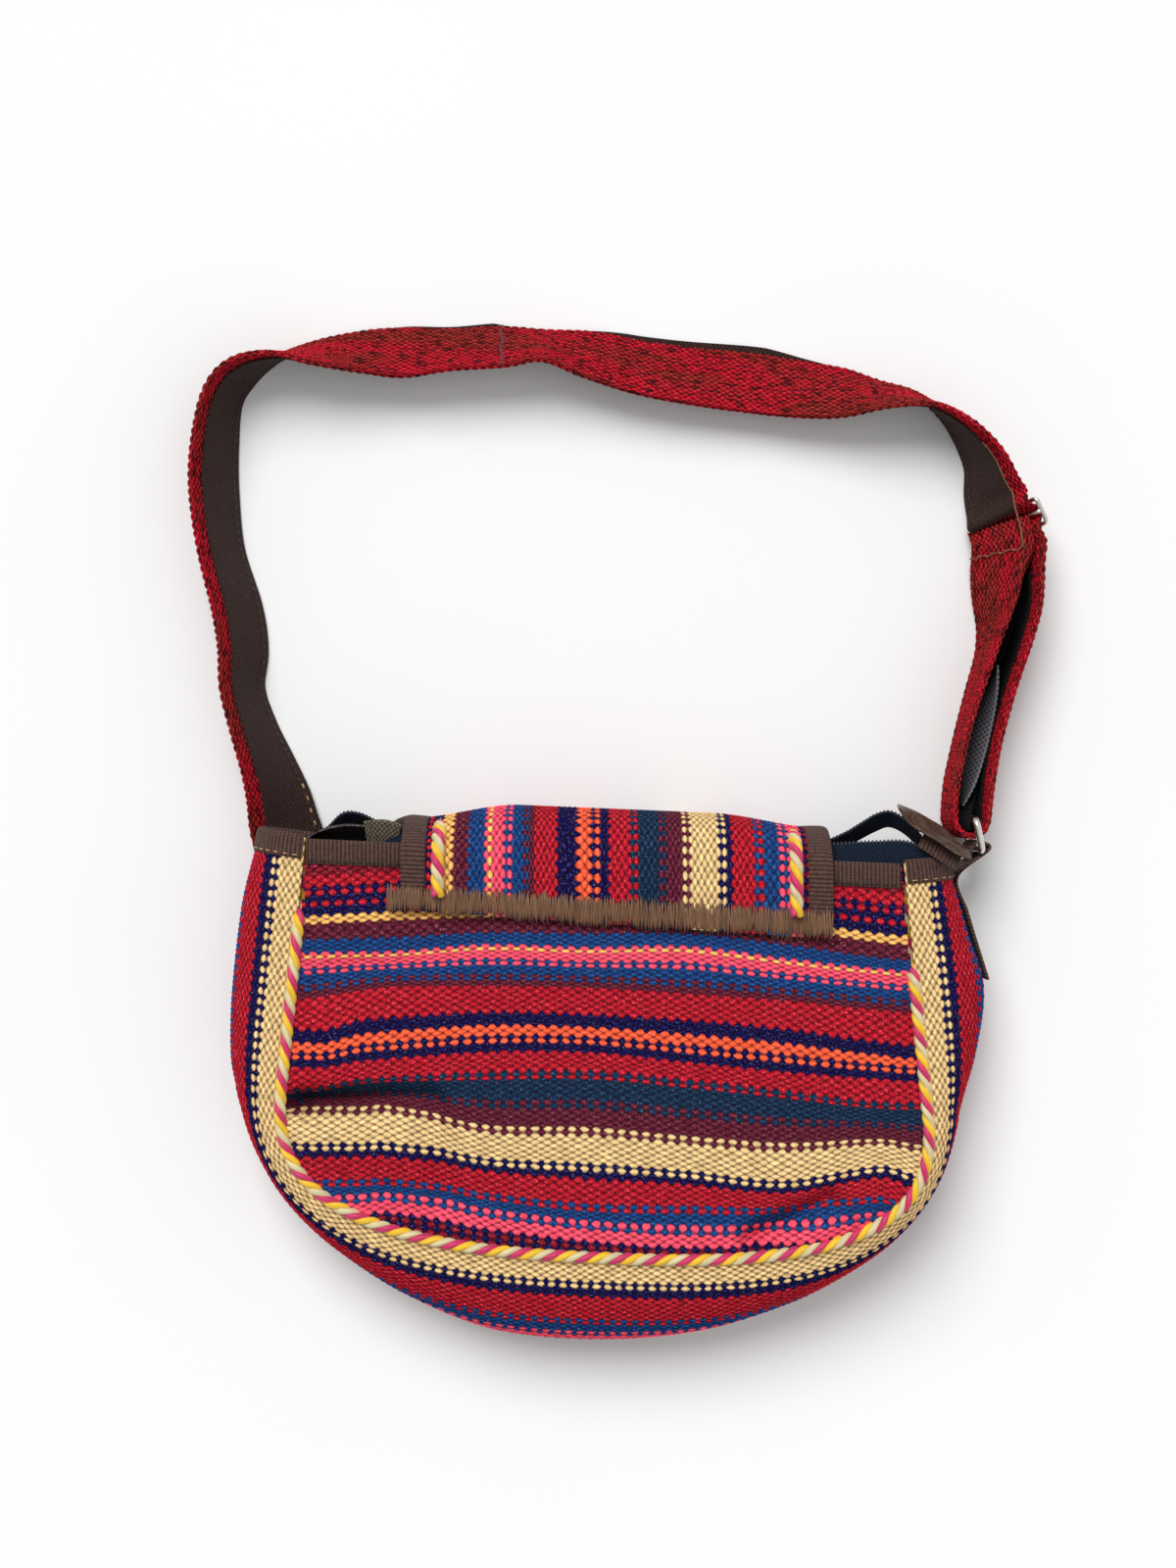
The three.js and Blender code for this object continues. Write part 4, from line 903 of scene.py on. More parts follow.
def rope_yarn(name, hex_code):
    """Mercerised cotton: smooth parallel fibres along the strand, with a silky gloss."""
    material, tree = new_material(name)
    place = add_node(tree, "UVMap", uv_map="weave").outputs[0]
    lines = add_node(tree, "Mapping", {0: place, 2: (0, 0, STREAK_SLANT), 3: STREAKS}).outputs[0]
    fibre = add_node(tree, "TexNoise", {"Vector": lines, "Scale": 1.0, "Detail": 2.0}).outputs[0]
    shade = add_node(tree, "MapRange", {0: fibre, 1: 0.25, 2: 0.75, 3: 0.72, 4: 1.1}).outputs[0]
    base = colour(hex_code)[:3]
    tone = add_node(tree, "VectorMath", {0: base, "Scale": shade}, operation="SCALE").outputs[0]
    bump = add_node(tree, "Bump", {"Strength": 0.5, "Distance": 0.0002, "Height": fibre}).outputs[0]
    finish_material(tree, {"Base Color": tone, "Normal": bump, "Roughness": 0.55, "Sheen Weight": 0.2})
    return material


def strand_lines(middle, side, up, radius):
    """Middle lines of three strands that wind round a cord."""
    length = lengths_along(middle)
    lines = []
    for third in range(3):
        angle = 2 * math.pi * (length / ROPE_TURN + third / 3)
        lines.append(middle + radius * (np.cos(angle)[:, None] * side + np.sin(angle)[:, None] * up))
    return lines


def rope(name, middle, side, up, radius, hint):
    """Three strands of one cord, each in its own colour."""
    lines = strand_lines(middle, side, up, radius * STRAND_WINDS)
    for line, (shade, material) in zip(lines, rope_materials.items()):
        mesh = tubes(name, [line], radius * STRAND_RADIUS, STRAND_SIDES, hint)
        strand = add_object(name + "_" + shade, mesh, [material])
        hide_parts(name)


rope_materials = {shade: rope_yarn("cotton yarn " + shade, code) for shade, code in STRAND_COLOURS.items()}
print("rope yarns:", len(rope_materials))

# %% Piping in the seams
UP = np.array([0.0, 0.0, 1.0])
PIPING_RADIUS = 2.45
PIPING_FROM, PIPING_TO, PIPING_STEPS = 0.012, 0.988, 640  # its ends, as shares of the seam
PIPING_SINK, PIPING_FADE = 7.0, 0.02  # it sinks this far into the seam at the mouth, within this share
BACK_ROPE_RISE, FRONT_ROPE_RISE = 0.7, 1.2  # its middle line above the two seams


def back_rope_height(x, y):
    """Height of the upper piping: level all the way."""
    return np.full(np.broadcast(x, y).shape, BACK_SEAM + BACK_ROPE_RISE)


def front_rope_height(x, y):
    """Height of the lower piping, which follows the lifted corner."""
    return FRONT_SEAM + FRONT_ROPE_RISE + corner_lift(x, y)


def piping(name, height, show_from, show_to):
    """Rope along the seam; it sinks into the seam near the mouth."""
    along = np.linspace(PIPING_FROM, PIPING_TO, PIPING_STEPS)
    at, out = seam_at(along)
    shown = smooth((along - show_from) / PIPING_FADE) * smooth((show_to - along) / PIPING_FADE)
    middle = lay(at[:, 0], at[:, 1], height(at[:, 0], at[:, 1]) - PIPING_SINK * (1 - shown))
    side = np.stack([out[:, 0], out[:, 1], np.zeros(len(along))], axis=-1)
    rope(name, middle, side, UP, PIPING_RADIUS, UP)


piping("piping_back", back_rope_height, 0.045, 0.93)
piping("piping_front", front_rope_height, 0.0, 1.0)
print("piping: 2 ropes")

# %% Cords on the flap
CORD_FROM, CORD_TO, CORD_STEPS = 0.04, 0.93, 420  # its ends, as shares of the flap's length
CORD_PRESS = 0.4  # how far its seam presses it into the cloth
CORD_SINK = 5.3  # it is drawn this far into the cloth where the flap folds over the mouth
SINK_FROM, SINK_OVER = 0.16, 0.1  # shares of the flap's length where it sinks
RISE_BY, RISE_OVER = 0.47, 0.08  # and where it is up again


def flap_cord(name, side):
    """Thicker rope on the flap, along one edge."""
    x = side * FLAP_CORD_AT
    along = np.linspace(CORD_FROM, CORD_TO, CORD_STEPS)
    line = flap_point(along, np.full(len(along), x))
    ahead = unit(np.gradient(line, axis=0))
    across = np.array([1.0, -SKEW, 0.0])
    outward = unit(np.cross(across, ahead))
    at_fold = smooth((along - SINK_FROM) / SINK_OVER) * smooth((RISE_BY - along) / RISE_OVER)
    middle = line + outward * (FLAP_CORD_RADIUS - CORD_PRESS - CORD_SINK * at_fold)[:, None]
    rope(name, middle, unit(np.cross(ahead, outward)), outward, FLAP_CORD_RADIUS, across)


flap_cord("flap_cord_left", -1)
flap_cord("flap_cord_right", 1)
print("flap cords: 2 ropes")

# %% [markdown]
# ## Brown tape
#
# The raw edges of the cloth are bound with folded, ribbed brown tape, and the same tape holds the ring. A
# darker woven one lines the strap. A folded tape is a U in section that runs along an edge, so each binding
# is that U carried along a row of frames: a point, a direction towards the cloth's edge and a direction out
# of the cloth. Cutting the corners off the U a few times rounds it, as thick tape is round where it folds.

# %% Ribbons from a section and frames
TAPE = 1.0  # thickness of a tape
GAP = 0.3  # room between two pieces that touch
STRAP_CLEAR = 0.15  # room between the strap and the floor
LET_OUT_FROM, LET_OUT_OVER = -8.0, 8.0  # place on its width where a ribbon's lower edge is let out
PLAIN_WEAVE = (1.7, 1.2)  # a float's length and a yarn's pitch in most tapes


def soften(section, radius_share=0.25, rounds=2):
    """A closed outline with its corners cut off, several times over."""
    section = np.asarray(section, float)
    for _ in range(rounds):
        following = np.roll(section, -1, axis=0)
        near = mix(section, following, radius_share)
        far = mix(section, following, 1 - radius_share)
        section = np.stack([near, far], axis=1).reshape(-1, 2)
    return section


def even_outline(section, count):
    """The closed outline again, with equally spaced points; the last repeats the first."""
    closed = np.concatenate([section, section[:1]])
    length = lengths_along(closed)
    wanted = np.linspace(0, length[-1], count + 1)
    return np.stack([np.interp(wanted, length, closed[:, k]) for k in (0, 1)], axis=1), length[-1]


def ribbon_points(at, a, b, outline):
    """The outline set up at every frame."""
    return at[:, None] + outline[None, :, :1] * a[:, None] + outline[None, :, 1:] * b[:, None]


def ribbon(name, frames, section, count, material, weave=PLAIN_WEAVE, relief=0.0, longer=None):
    """A closed ribbon; weave is a float's length and a yarn's pitch, longer lets out the lower edge."""
    at, a, b = frames
    outline, around = even_outline(section, count)
    points = ribbon_points(at, a, b, outline)
    if longer is not None:
        near_edge = smooth((LET_OUT_FROM - outline[:, 0]) / LET_OUT_OVER)
        points -= a[:, None] * longer[:, None, None] * near_edge[None, :, None]
        lying = STRAP_CLEAR + outline[:, 1] - outline[:, 1].min()
        points[..., 2] = np.maximum(points[..., 2], lying)
    u = lengths_along(at) / weave[0]
    v = np.linspace(0, 2 * round(around / weave[1] / 2), count + 1)
    uv = np.stack(np.meshgrid(u, v, indexing="ij"), axis=-1)
    if relief:
        outward = grid_normals(points)
        outward *= np.sign(np.sum(outward * (points - at[:, None])))
        points = points + outward * relief * (float_height(uv)[..., None] - 0.5)
        points[:, -1] = points[:, 0]
    return add_object(name, close_shell(grid_mesh(name, points, uv)), [material])


TAPE_EASE, TAPE_FOLD, TAPE_THIN = 0.05, 0.2, 0.5  # ease round the cloth, more at the fold, less at edges


def folded_tape():
    """Section of a tape folded over a cloth edge that points along +a."""
    slot = CLOTH / 2 + TAPE_EASE
    outside = slot + TAPE + TAPE_FOLD
    edge = GAP + TAPE
    return soften([
        (edge, -outside), (edge, outside), (-BINDING_WIDTH, outside - TAPE_THIN), (-BINDING_WIDTH, slot),
        (GAP, slot), (GAP, -slot), (-BINDING_WIDTH, -slot), (-BINDING_WIDTH, TAPE_THIN - outside),
    ], 0.2, 2)


# %% Brown tape material
# Polyester tape: fine ribs across its length or a plain weave, dull, with a faint grey bloom on the ridges
# from the shader's sheen and a painted glint. The hollows between ribs or floats get painted shade.
RIB_CROWN = (0.38, 0.75, 1.0)  # half length and half width of a rib, in ribs along and threads across
# Painted highlight: light added to the colour of a tape's brightest fibres.
TAPE_GLINT = 0.06


def rib_sockets(tree):
    """Ribs across a tape, one to each unit of its length: distance from a rib's crown, and the UV."""
    uv = add_node(tree, "UVMap", uv_map="weave").outputs[0]
    split = add_node(tree, "SeparateXYZ", {0: uv})
    from_rib = add_node(tree, "Math", {0: split.outputs[0], 1: 0.5}, operation="PINGPONG").outputs[0]
    from_thread = add_node(tree, "Math", {0: split.outputs[1], 1: 0.5}, operation="PINGPONG").outputs[0]
    place = add_node(tree, "CombineXYZ", {0: from_rib, 1: from_thread}).outputs[0]
    scaled = add_node(tree, "VectorMath", {0: place, 1: RIB_CROWN}, operation="DIVIDE").outputs[0]
    dot = add_node(tree, "VectorMath", {0: scaled, 1: scaled}, operation="DOT_PRODUCT")
    return dot.outputs["Value"], uv


def tape_material(name, hex_code, gap_code, sheen, pattern):
    """A one-coloured tape, ribbed or woven as the pattern says, with painted shade of gap_code between
    its ribs or floats and a painted glint on its brightest fibres.
    """
    material, tree = new_material(name)
    *_, nearest, uv = pattern(tree)
    tone, bump = spun_yarn(tree, colour(hex_code)[:3], nearest, uv, colour(gap_code), TAPE_GLINT)
    finish_material(tree, {
        "Base Color": tone, "Normal": bump, "Roughness": 0.85, "Specular IOR Level": 0.15,
        "Sheen Weight": sheen, "Sheen Roughness": 0.5,
    })
    return material


# Each tape's second colour is the colour of its hollows, darkened as painted shade.
brown_tape = tape_material("brown polyester tape", "#513A33", "#160C0A", 0.04, rib_sockets)
strap_tape = tape_material("brown lining tape", "#36231F", "#120A09", 0.04, weave_sockets)
print("materials:", brown_tape.name, "and", strap_tape.name)

# %% Bindings
MOUTH_LEFT, MOUTH_RIGHT, MOUTH_EDGE = -122.5, 121.5, -1.6  # ends of the mouth's tape, and y of its edge
MOUTH_STEPS, END_STEPS, FLAP_SIDE_STEPS = 240, 90, 300
BINDING_POINTS = 64  # points round the section of a binding
END_FROM, FLAP_SIDE_FROM = 0.01, 0.02  # shares of their length where the tapes begin


def mouth_frames(height, side):
    """Along the mouth edge of a panel."""
    x = np.linspace(MOUTH_LEFT, MOUTH_RIGHT, MOUTH_STEPS)
    edge_y = np.full(len(x), MOUTH_EDGE)
    at = lay(x, edge_y, height(x, edge_y))
    below = lay(x, edge_y - BINDING_WIDTH, height(x, edge_y - BINDING_WIDTH))
    a = unit(at - below)
    b = unit(np.cross(np.gradient(at, axis=0), a))
    return at - side * CLOTH / 2 * b, a, b


def gusset_frames(along, inwards):
    """Across one end of the gusset."""
    across = np.linspace(END_FROM, 1.0, END_STEPS)
    ends = np.full(len(across), along)
    at = gusset_point(ends, across, -CLOTH / 2)
    b = unit(gusset_point(ends, across, 1.0) - gusset_point(ends, across, 0.0))
    a = unit(at - gusset_point(ends + inwards, across, -CLOTH / 2))
    return at, a, b


def flap_frames(side):
    """Along one side of the flap."""
    along = np.linspace(FLAP_SIDE_FROM, 1.0, FLAP_SIDE_STEPS)
    x = np.full(len(along), side * FLAP_HALF)
    line = flap_point(along, x)
    a = np.broadcast_to(unit(np.array([side, -SKEW * side, 0.0])), line.shape)
    b = unit(np.cross(np.array([1.0, -SKEW, 0.0]), np.gradient(line, axis=0)))
    return line - CLOTH / 2 * b, a, b


BINDINGS = [
    ("back_binding", mouth_frames(back_height, 1)),
    ("front_binding", mouth_frames(front_height, -1)),
    ("gusset_binding_left", gusset_frames(0.0, 0.01)),
    ("gusset_binding_right", gusset_frames(1.0, -0.01)),
    ("flap_binding_left", flap_frames(-1)),
    ("flap_binding_right", flap_frames(1)),
]
for name, frames in BINDINGS:
    binding = ribbon(name + "_tape", frames, folded_tape(), BINDING_POINTS, brown_tape)
    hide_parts(name)
print("bindings:", len(BINDINGS))

# %% [markdown]
# ## Strap
#
# One long red ribbon that stands on its edge: from the left side of the bag over the loop, through the
# slider, round the ring and back to the slider. The table gives its middle line on the table top and how
# far it leans. A negative lean tips the upper edge towards the inside of the loop. Its section is a thin
# rounded bar, woven all round, so the camera sees true selvedges when it looks down on them.

# %% Strap table and frames
STRAP_WIDTH, STRAP_THICK = 31.0, 2.2
STRAP = [  # x, y, lean in degrees, side step through the slider, lift off the floor
    (-134.5, -12, 64, 0, 0), (-135.6, 1, 62, 0, 0), (-137.9, 10, 58, 0, 0), (-140.1, 21.4, 47, 0, 0),
    (-144, 34, 36, 0, 0), (-150.4, 51.2, 27, 0, 0), (-155.2, 68.3, 24, 0, 0), (-155, 85.5, 29, 0, 0),
    (-157.6, 102.7, 30, 0, 0), (-164.4, 127.8, 26, 0, 0), (-167.4, 153, 28, 0, 0),
    (-166.8, 173.9, 25, 0, 0), (-163.3, 193, 18, 0, 0), (-154.8, 203.7, 11, 0, 0),
    (-140.2, 210.4, -7, 0, 0), (-123.9, 211.7, -27, 0, 0), (-100.6, 212.4, -45, 0, 0),
    (-85.2, 212.2, -51, 0, 0), (-65.5, 213.2, -43, 0, 0), (-42.8, 214.4, -42, 0, 0),
    (-25.2, 214.7, -34, 0, 0), (-6.4, 211.3, -48, 0, 0), (14.2, 206.2, -55, 0, 0),
    (35.2, 202.7, -59, 0, 0), (63.1, 199.5, -63, 0, 0), (84, 196.7, -59, 0, 0),
    (101.8, 195.1, -51, 0, 0), (117.8, 193.8, -31, 0, 0), (131.9, 192.4, -20, 0, 0),
    (142.4, 188.7, -9, 0, 0), (153.7, 179.1, 5, 0, 0), (162.7, 166.2, 19, 0, 0),
    (166.6, 153.9, 35, 0, 0), (168.6, 148.1, 44, 0, 1.4), (171, 143, 47, -3.6, 2.7),
    (173.4, 137.8, 47, 3.6, 2.7), (175.8, 132.6, 47, -3.6, 2.7), (178, 127, 34, 0, 1.4),
    (180.6, 119.5, 16, 0, 0), (182, 111, 8, 0, 0), (181.8, 103, 6, 0, 0), (180.4, 96.7, 6, 0, 0),
    (177, 85.4, 6, 0, 0), (172.8, 73.3, 6, 0, 0), (168.8, 60.8, 6, 0, 0.5), (164.9, 45.3, 5, 0, 1.2),
    (162, 29.4, 4, 0, 2.6), (160.9, 18, 2, 0, 3.9), (160.6, 11.6, 0, 0, 4.1), (158.5, 7.2, 0, 0, 4.1),
    (153.8, 5.5, 0, 0, 4.1), (149.1, 7.2, -1, 0, 4.1), (146.9, 11.6, -1, 0, 4.1),
    (146.9, 18, -1, 0, 3.9), (148.1, 28, -1, 0, 2.2), (150.1, 37.3, -1, 0, 1.5),
    (153.6, 52, -1, 0, 0.8), (158.2, 67.4, -3, 0, 0), (162.5, 81.2, -5, 0, 0), (164.6, 90, -9, 0, 0),
    (165.8, 96.8, -15, 0, 0), (167, 108.2, -28, 0, 0), (168, 118.3, -36, 0, 1),
    (169.4, 124.5, -43, 0, 2.6), (170, 129.5, -46, 0, 3.9), (169.6, 133.4, -46, 0, 3.2),
    (168.4, 138.4, -46, 0, 0.6),
]
LINING_FIRST, LINING_LAST = 0.3, 34.3  # rows of the table between which the strap is lined
SLIDER_ROW = 35


def lean_frames(line, lean, height, side_step):
    """Frames of a ribbon that leans: a points to its upper edge, b out of its outer face."""
    ahead = unit(np.gradient(line, axis=0))
    out = np.stack([-ahead[:, 1], ahead[:, 0], np.zeros(len(line))], axis=-1)
    cos, sin = np.cos(lean)[:, None], np.sin(lean)[:, None]
    a = UP * cos + out * sin
    b = out * cos - UP * sin
    at = np.concatenate([line, height[:, None]], axis=1) + PLACE + b * side_step[:, None]
    return at, a, b


def strap_frames(first, last, spacing):
    """Frames of the strap between two rows of its table, equally far apart."""
    table = np.array(STRAP, float)
    fine = np.linspace(first, last, 4000)
    share, length = even_steps(spline(table[:, :2], fine), spacing)
    place = mix(first, last, share)
    x, y, lean, side_step, lift = spline(table, place).T
    lean = np.radians(lean)
    below = np.where(lean > 0, STRAP_THICK / 2, STRAP_THICK / 2 + GAP + TAPE)
    height = STRAP_CLEAR + STRAP_WIDTH / 2 * np.cos(lean) + below * np.abs(np.sin(lean)) + lift
    return lean_frames(np.stack([x, y], axis=1), lean, height, side_step), place, length


def bar(low, high, inner, outer):
    """Rounded section of a ribbon: low and high along its width, inner and outer through it."""
    corners = [(low, inner), (high, inner), (high, outer), (low, outer)]
    closed = even_outline(np.array(corners, float), 160)[0][:-1]
    return soften(closed)


print("rows of the strap's table:", len(STRAP))

# %% Strap material
# Red wool ribbon. Some yarns were spun with dark wool, so dark dashes run along it here and there.
# Painted highlight: how much light is added to the colour of the strap's brightest fibres.
STRAP_GLINT = 0.1
DASH = (0.55, 1.1, 1.0)  # a dark dash is about two floats long and one yarn wide
WORN_PATCH = (0.06, 0.12, 1.0)  # a worn patch spans about sixteen floats and eight yarns
strap_wool, tree = new_material("red wool ribbon")
_, nearest, uv = weave_sockets(tree)
long_marks = add_node(tree, "Mapping", {0: uv, 3: DASH}).outputs[0]
mark = add_node(tree, "TexNoise", {"Vector": long_marks, "Scale": 1.0, "Detail": 1.0}).outputs[0]
dark = add_node(tree, "MapRange", {0: mark, 1: 0.53, 2: 0.6, 3: 0.0, 4: 0.92}).outputs[0]
patches = add_node(tree, "Mapping", {0: uv, 3: WORN_PATCH}).outputs[0]
patch = add_node(tree, "TexNoise", {"Vector": patches, "Scale": 1.0, "Detail": 1.0}).outputs[0]
worn_part = add_node(tree, "MapRange", {0: patch, 1: 0.42, 2: 0.62, 3: 0.0, 4: 1.0}).outputs[0]
fresh, worn = colour("#B21526"), colour("#8C2420")
red = add_node(tree, "Mix", {0: worn_part, 6: fresh, 7: worn}, data_type="RGBA").outputs[2]
yarn = add_node(tree, "Mix", {0: dark, 6: red, 7: colour("#3A0F12")}, data_type="RGBA").outputs[2]
# Painted shade: the colour between the floats is near black, as the hollows there lie in shade.
tone, bump = spun_yarn(tree, yarn, nearest, uv, colour("#1E0508"), STRAP_GLINT)
finish_material(tree, {"Base Color": tone, "Normal": bump, **WOOL_SURFACE})
print("material:", strap_wool.name)

# %% Strap cloth
STRAP_FLOAT, STRAP_YARNS = 3.5, 52  # a float's length, and the yarns counted round the whole section
STRAP_RELIEF = 0.6
frames, _, strap_length = strap_frames(0, len(STRAP) - 1, spacing=STRAP_FLOAT / 3)
STRAP_HALF = STRAP_WIDTH / 2
section = bar(-STRAP_HALF, STRAP_HALF, -STRAP_THICK / 2, STRAP_THICK / 2)
pitch = even_outline(section, 8)[1] / STRAP_YARNS
weave = (STRAP_FLOAT, pitch)
strap_ribbon = ribbon("strap_ribbon", frames, section, 2 * STRAP_YARNS, strap_wool, weave, STRAP_RELIEF)
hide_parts("strap")
print("strap", round(strap_length), "mm")

# %% Strap lining
# The tape is a little longer than the strap, so at the top of the loop its lower edge bulges out.
LINING_LOW, LINING_HIGH = -16.3, 8.9  # its edges, from the middle of the strap's width
LINING_OUT = [  # row of the table, and how far the lining's lower edge shows beyond the strap there
    (15.5, 0), (17, 2), (18.8, 4), (19.3, 0.6), (20.6, 1), (21.6, 3.4), (24.2, 4.2), (26.2, 0),
]
LINING_WEAVE = (1.9, 1.1)
INNER_FACE = -STRAP_THICK / 2 - GAP + 0.15  # where a tape on the strap's inner face begins
frames, place, lining_length = strap_frames(LINING_FIRST, LINING_LAST, spacing=1.5)
longer = np.interp(place, [row for row, _ in LINING_OUT], [out for _, out in LINING_OUT])
section = bar(LINING_LOW, LINING_HIGH, INNER_FACE - TAPE, INNER_FACE)
lining = ribbon("strap_lining_tape", frames, section, 80, strap_tape, LINING_WEAVE, longer=longer)
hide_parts("strap_lining")
print("lining", round(lining_length), "mm")

# %% [markdown]
# ## Strap fittings
#
# The slider and the ring are bent from round steel wire and plated. A wire is a tube along a rounded
# rectangle. Where the photo looks along a wire it shows only a bright streak, so the gloss matters more
# than the shape. Between the two layers of the strap shows a strip of grey non-woven backing. The doubled
# part is faced with cloth coloured near black as painted shade of the gap, and a narrow strip of the same
# cloth lies in the gap between the layers as painted shade.

# %% Metal
# Nickel-plated steel: a mirror with fine scratches, a little warm.
SCRATCHES_PER_MM = 0.9  # coarser than real scratches, which would not show
nickel, tree = new_material("nickel-plated steel")
place = add_node(tree, "TexCoord").outputs["Object"]
scratches = {"Vector": place, "Scale": SCRATCHES_PER_MM / MM, "Detail": 3.0}
scratch = add_node(tree, "TexNoise", scratches).outputs[0]
rough = add_node(tree, "MapRange", {0: scratch, 3: 0.14, 4: 0.32}).outputs[0]
bump = add_node(tree, "Bump", {"Strength": 0.05, "Distance": 0.0001, "Height": scratch}).outputs[0]
plating = {"Base Color": colour("#E6E2DA"), "Metallic": 1.0, "Roughness": rough, "Normal": bump}
finish_material(tree, plating)
print("material:", nickel.name)


def rounded_rectangle(centre, u, v, half_u, half_v, radius):
    """A closed line: a rectangle with round corners in the plane of u and v."""
    angle = np.linspace(0, math.pi / 2, 7)
    points = []
    for turn, (su, sv) in enumerate([(1, 1), (-1, 1), (-1, -1), (1, -1)]):
        a = angle + turn * math.pi / 2
        corner = np.array([su * (half_u - radius), sv * (half_v - radius)])
        points.append(corner + radius * np.stack([np.cos(a), np.sin(a)], axis=1))
    flat = np.concatenate(points)
    return centre + flat[:, :1] * u + flat[:, 1:] * v


WIRE_SIDES = 12


def wire_loop(name, line, radius, hint):
    """A closed ring of round wire along a line."""
    points = tube_points(line, radius, WIRE_SIDES, hint, closed=True)
    mesh = grid_mesh(name, points)
    bm = bmesh.new()
    bm.from_mesh(mesh)
    bmesh.ops.remove_doubles(bm, verts=bm.verts, dist=1e-7)
    bmesh.ops.recalc_face_normals(bm, faces=bm.faces)
    bm.to_mesh(mesh)
    bm.free()
    return mesh


# %% Ring
RING_WIRE, RING_HEIGHT, RING_BOTTOM, RING_CORNER = 3.0, 39.5, 0.6, 3.0
RING_STRAP_BAR = np.array([155.0, 12.6, 0.0])  # the upright bars, one in the strap and one in the tab
RING_TAB_BAR = np.array([157.6, -0.4, 0.0])
across = RING_TAB_BAR - RING_STRAP_BAR
centre = (RING_STRAP_BAR + RING_TAB_BAR) / 2 + UP * (RING_BOTTOM + RING_HEIGHT / 2) + PLACE
half_u, half_v = np.linalg.norm(across) / 2, (RING_HEIGHT - RING_WIRE) / 2
line = rounded_rectangle(centre, unit(across), UP, half_u, half_v, RING_CORNER)
ring_mesh = wire_loop("ring_wire", line, RING_WIRE / 2, np.cross(across, UP))
ring = add_object("ring_wire", ring_mesh, [nickel])
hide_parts("ring")
print("ring:", len(ring.data.polygons), "faces")

# %% Slider
SLIDER_LENGTH, SLIDER_BAR, SLIDER_CORNER = 13.2, 2.0, 1.5
SLIDER_ROOM = 5.4  # how much higher it is than the strap is wide
table = np.array(STRAP, float)
direction = unit(np.append(table[SLIDER_ROW + 1, :2] - table[SLIDER_ROW - 1, :2], 0.0))
lean = math.radians(STRAP[SLIDER_ROW][2])
out = np.array([-direction[1], direction[0], 0.0])
slider_a = UP * math.cos(lean) + out * math.sin(lean)
slider_b = np.cross(direction, slider_a)
height = STRAP_CLEAR + STRAP_HALF * math.cos(lean) + STRAP_THICK / 2 * math.sin(lean)
height += STRAP[SLIDER_ROW][4]
centre = np.array([*STRAP[SLIDER_ROW][:2], height]) + PLACE
half_u, half_v = (SLIDER_LENGTH - SLIDER_BAR) / 2, (STRAP_WIDTH + SLIDER_ROOM - SLIDER_BAR) / 2
line = rounded_rectangle(centre, direction, slider_a, half_u, half_v, SLIDER_CORNER)
loop = wire_loop("slider_loop", line, SLIDER_BAR / 2, slider_b)
bar_line = centre + np.linspace(-half_v, half_v, 12)[:, None] * slider_a
middle_bar = tubes("slider_bar", [bar_line], SLIDER_BAR / 2, WIRE_SIDES, slider_b)
slider = add_object("slider_wire", join_meshes("slider_wire", [loop, middle_bar]), [nickel])
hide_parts("slider")
print("slider:", len(slider.data.polygons), "faces")

# %% Grey backing between the layers
# Spunbonded polypropylene: flat grey felt, sealed by a regular grid of small pressed dots.
spunbond, tree = new_material("spunbonded backing")
uv = add_node(tree, "UVMap", uv_map="weave").outputs[0]
turned = add_node(tree, "Mapping", {0: uv, 2: (0, 0, math.pi / 4)}).outputs[0]
dots = add_node(tree, "TexVoronoi", {"Vector": turned, "Scale": 1.0, "Randomness": 0.0}).outputs[0]
dot = add_node(tree, "MapRange", {0: dots, 1: 0.2, 2: 0.34, 3: 1.0, 4: 0.0}).outputs[0]
grey, pressed = colour("#66666C"), colour("#1C1C20")
tone = add_node(tree, "Mix", {0: dot, 6: grey, 7: pressed}, data_type="RGBA").outputs[2]
bump = add_node(tree, "Bump", {"Strength": 0.4, "Distance": 0.0002, "Height": dot}).outputs[0]
finish_material(tree, {"Base Color": tone, "Normal": bump, "Roughness": 0.7})
BACKING = np.array([
    (167.6, 77, -8), (165, 69, 8), (162.2, 60, 20), (159.2, 49, 26), (156.4, 38, 25), (154, 28, 18),
    (152, 18, -2),
], float)  # x, y, lean
BACKING_LOW, BACKING_HIGH = -4.0, 10.0  # its edges, from the middle of the strap's width
BACKING_LIFT, BACKING_THICK = 0.4, 1.0
BACKING_DOTS = (1.6, 3.2)  # lengths along and across that count as one in its map
place = np.linspace(0, len(BACKING) - 1, 60)
x, y, lean = spline(BACKING, place).T
lean = np.radians(lean)
height = STRAP_CLEAR + STRAP_HALF * np.cos(lean) + BACKING_LIFT
frames = lean_frames(np.stack([x, y], axis=1), lean, height, 0 * lean)
section = bar(BACKING_LOW, BACKING_HIGH, -BACKING_THICK / 2, BACKING_THICK / 2)
backing = ribbon("strap_backing_strip", frames, section, 40, spunbond, BACKING_DOTS)
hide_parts("strap_backing")
print("backing:", len(backing.data.polygons), "faces")

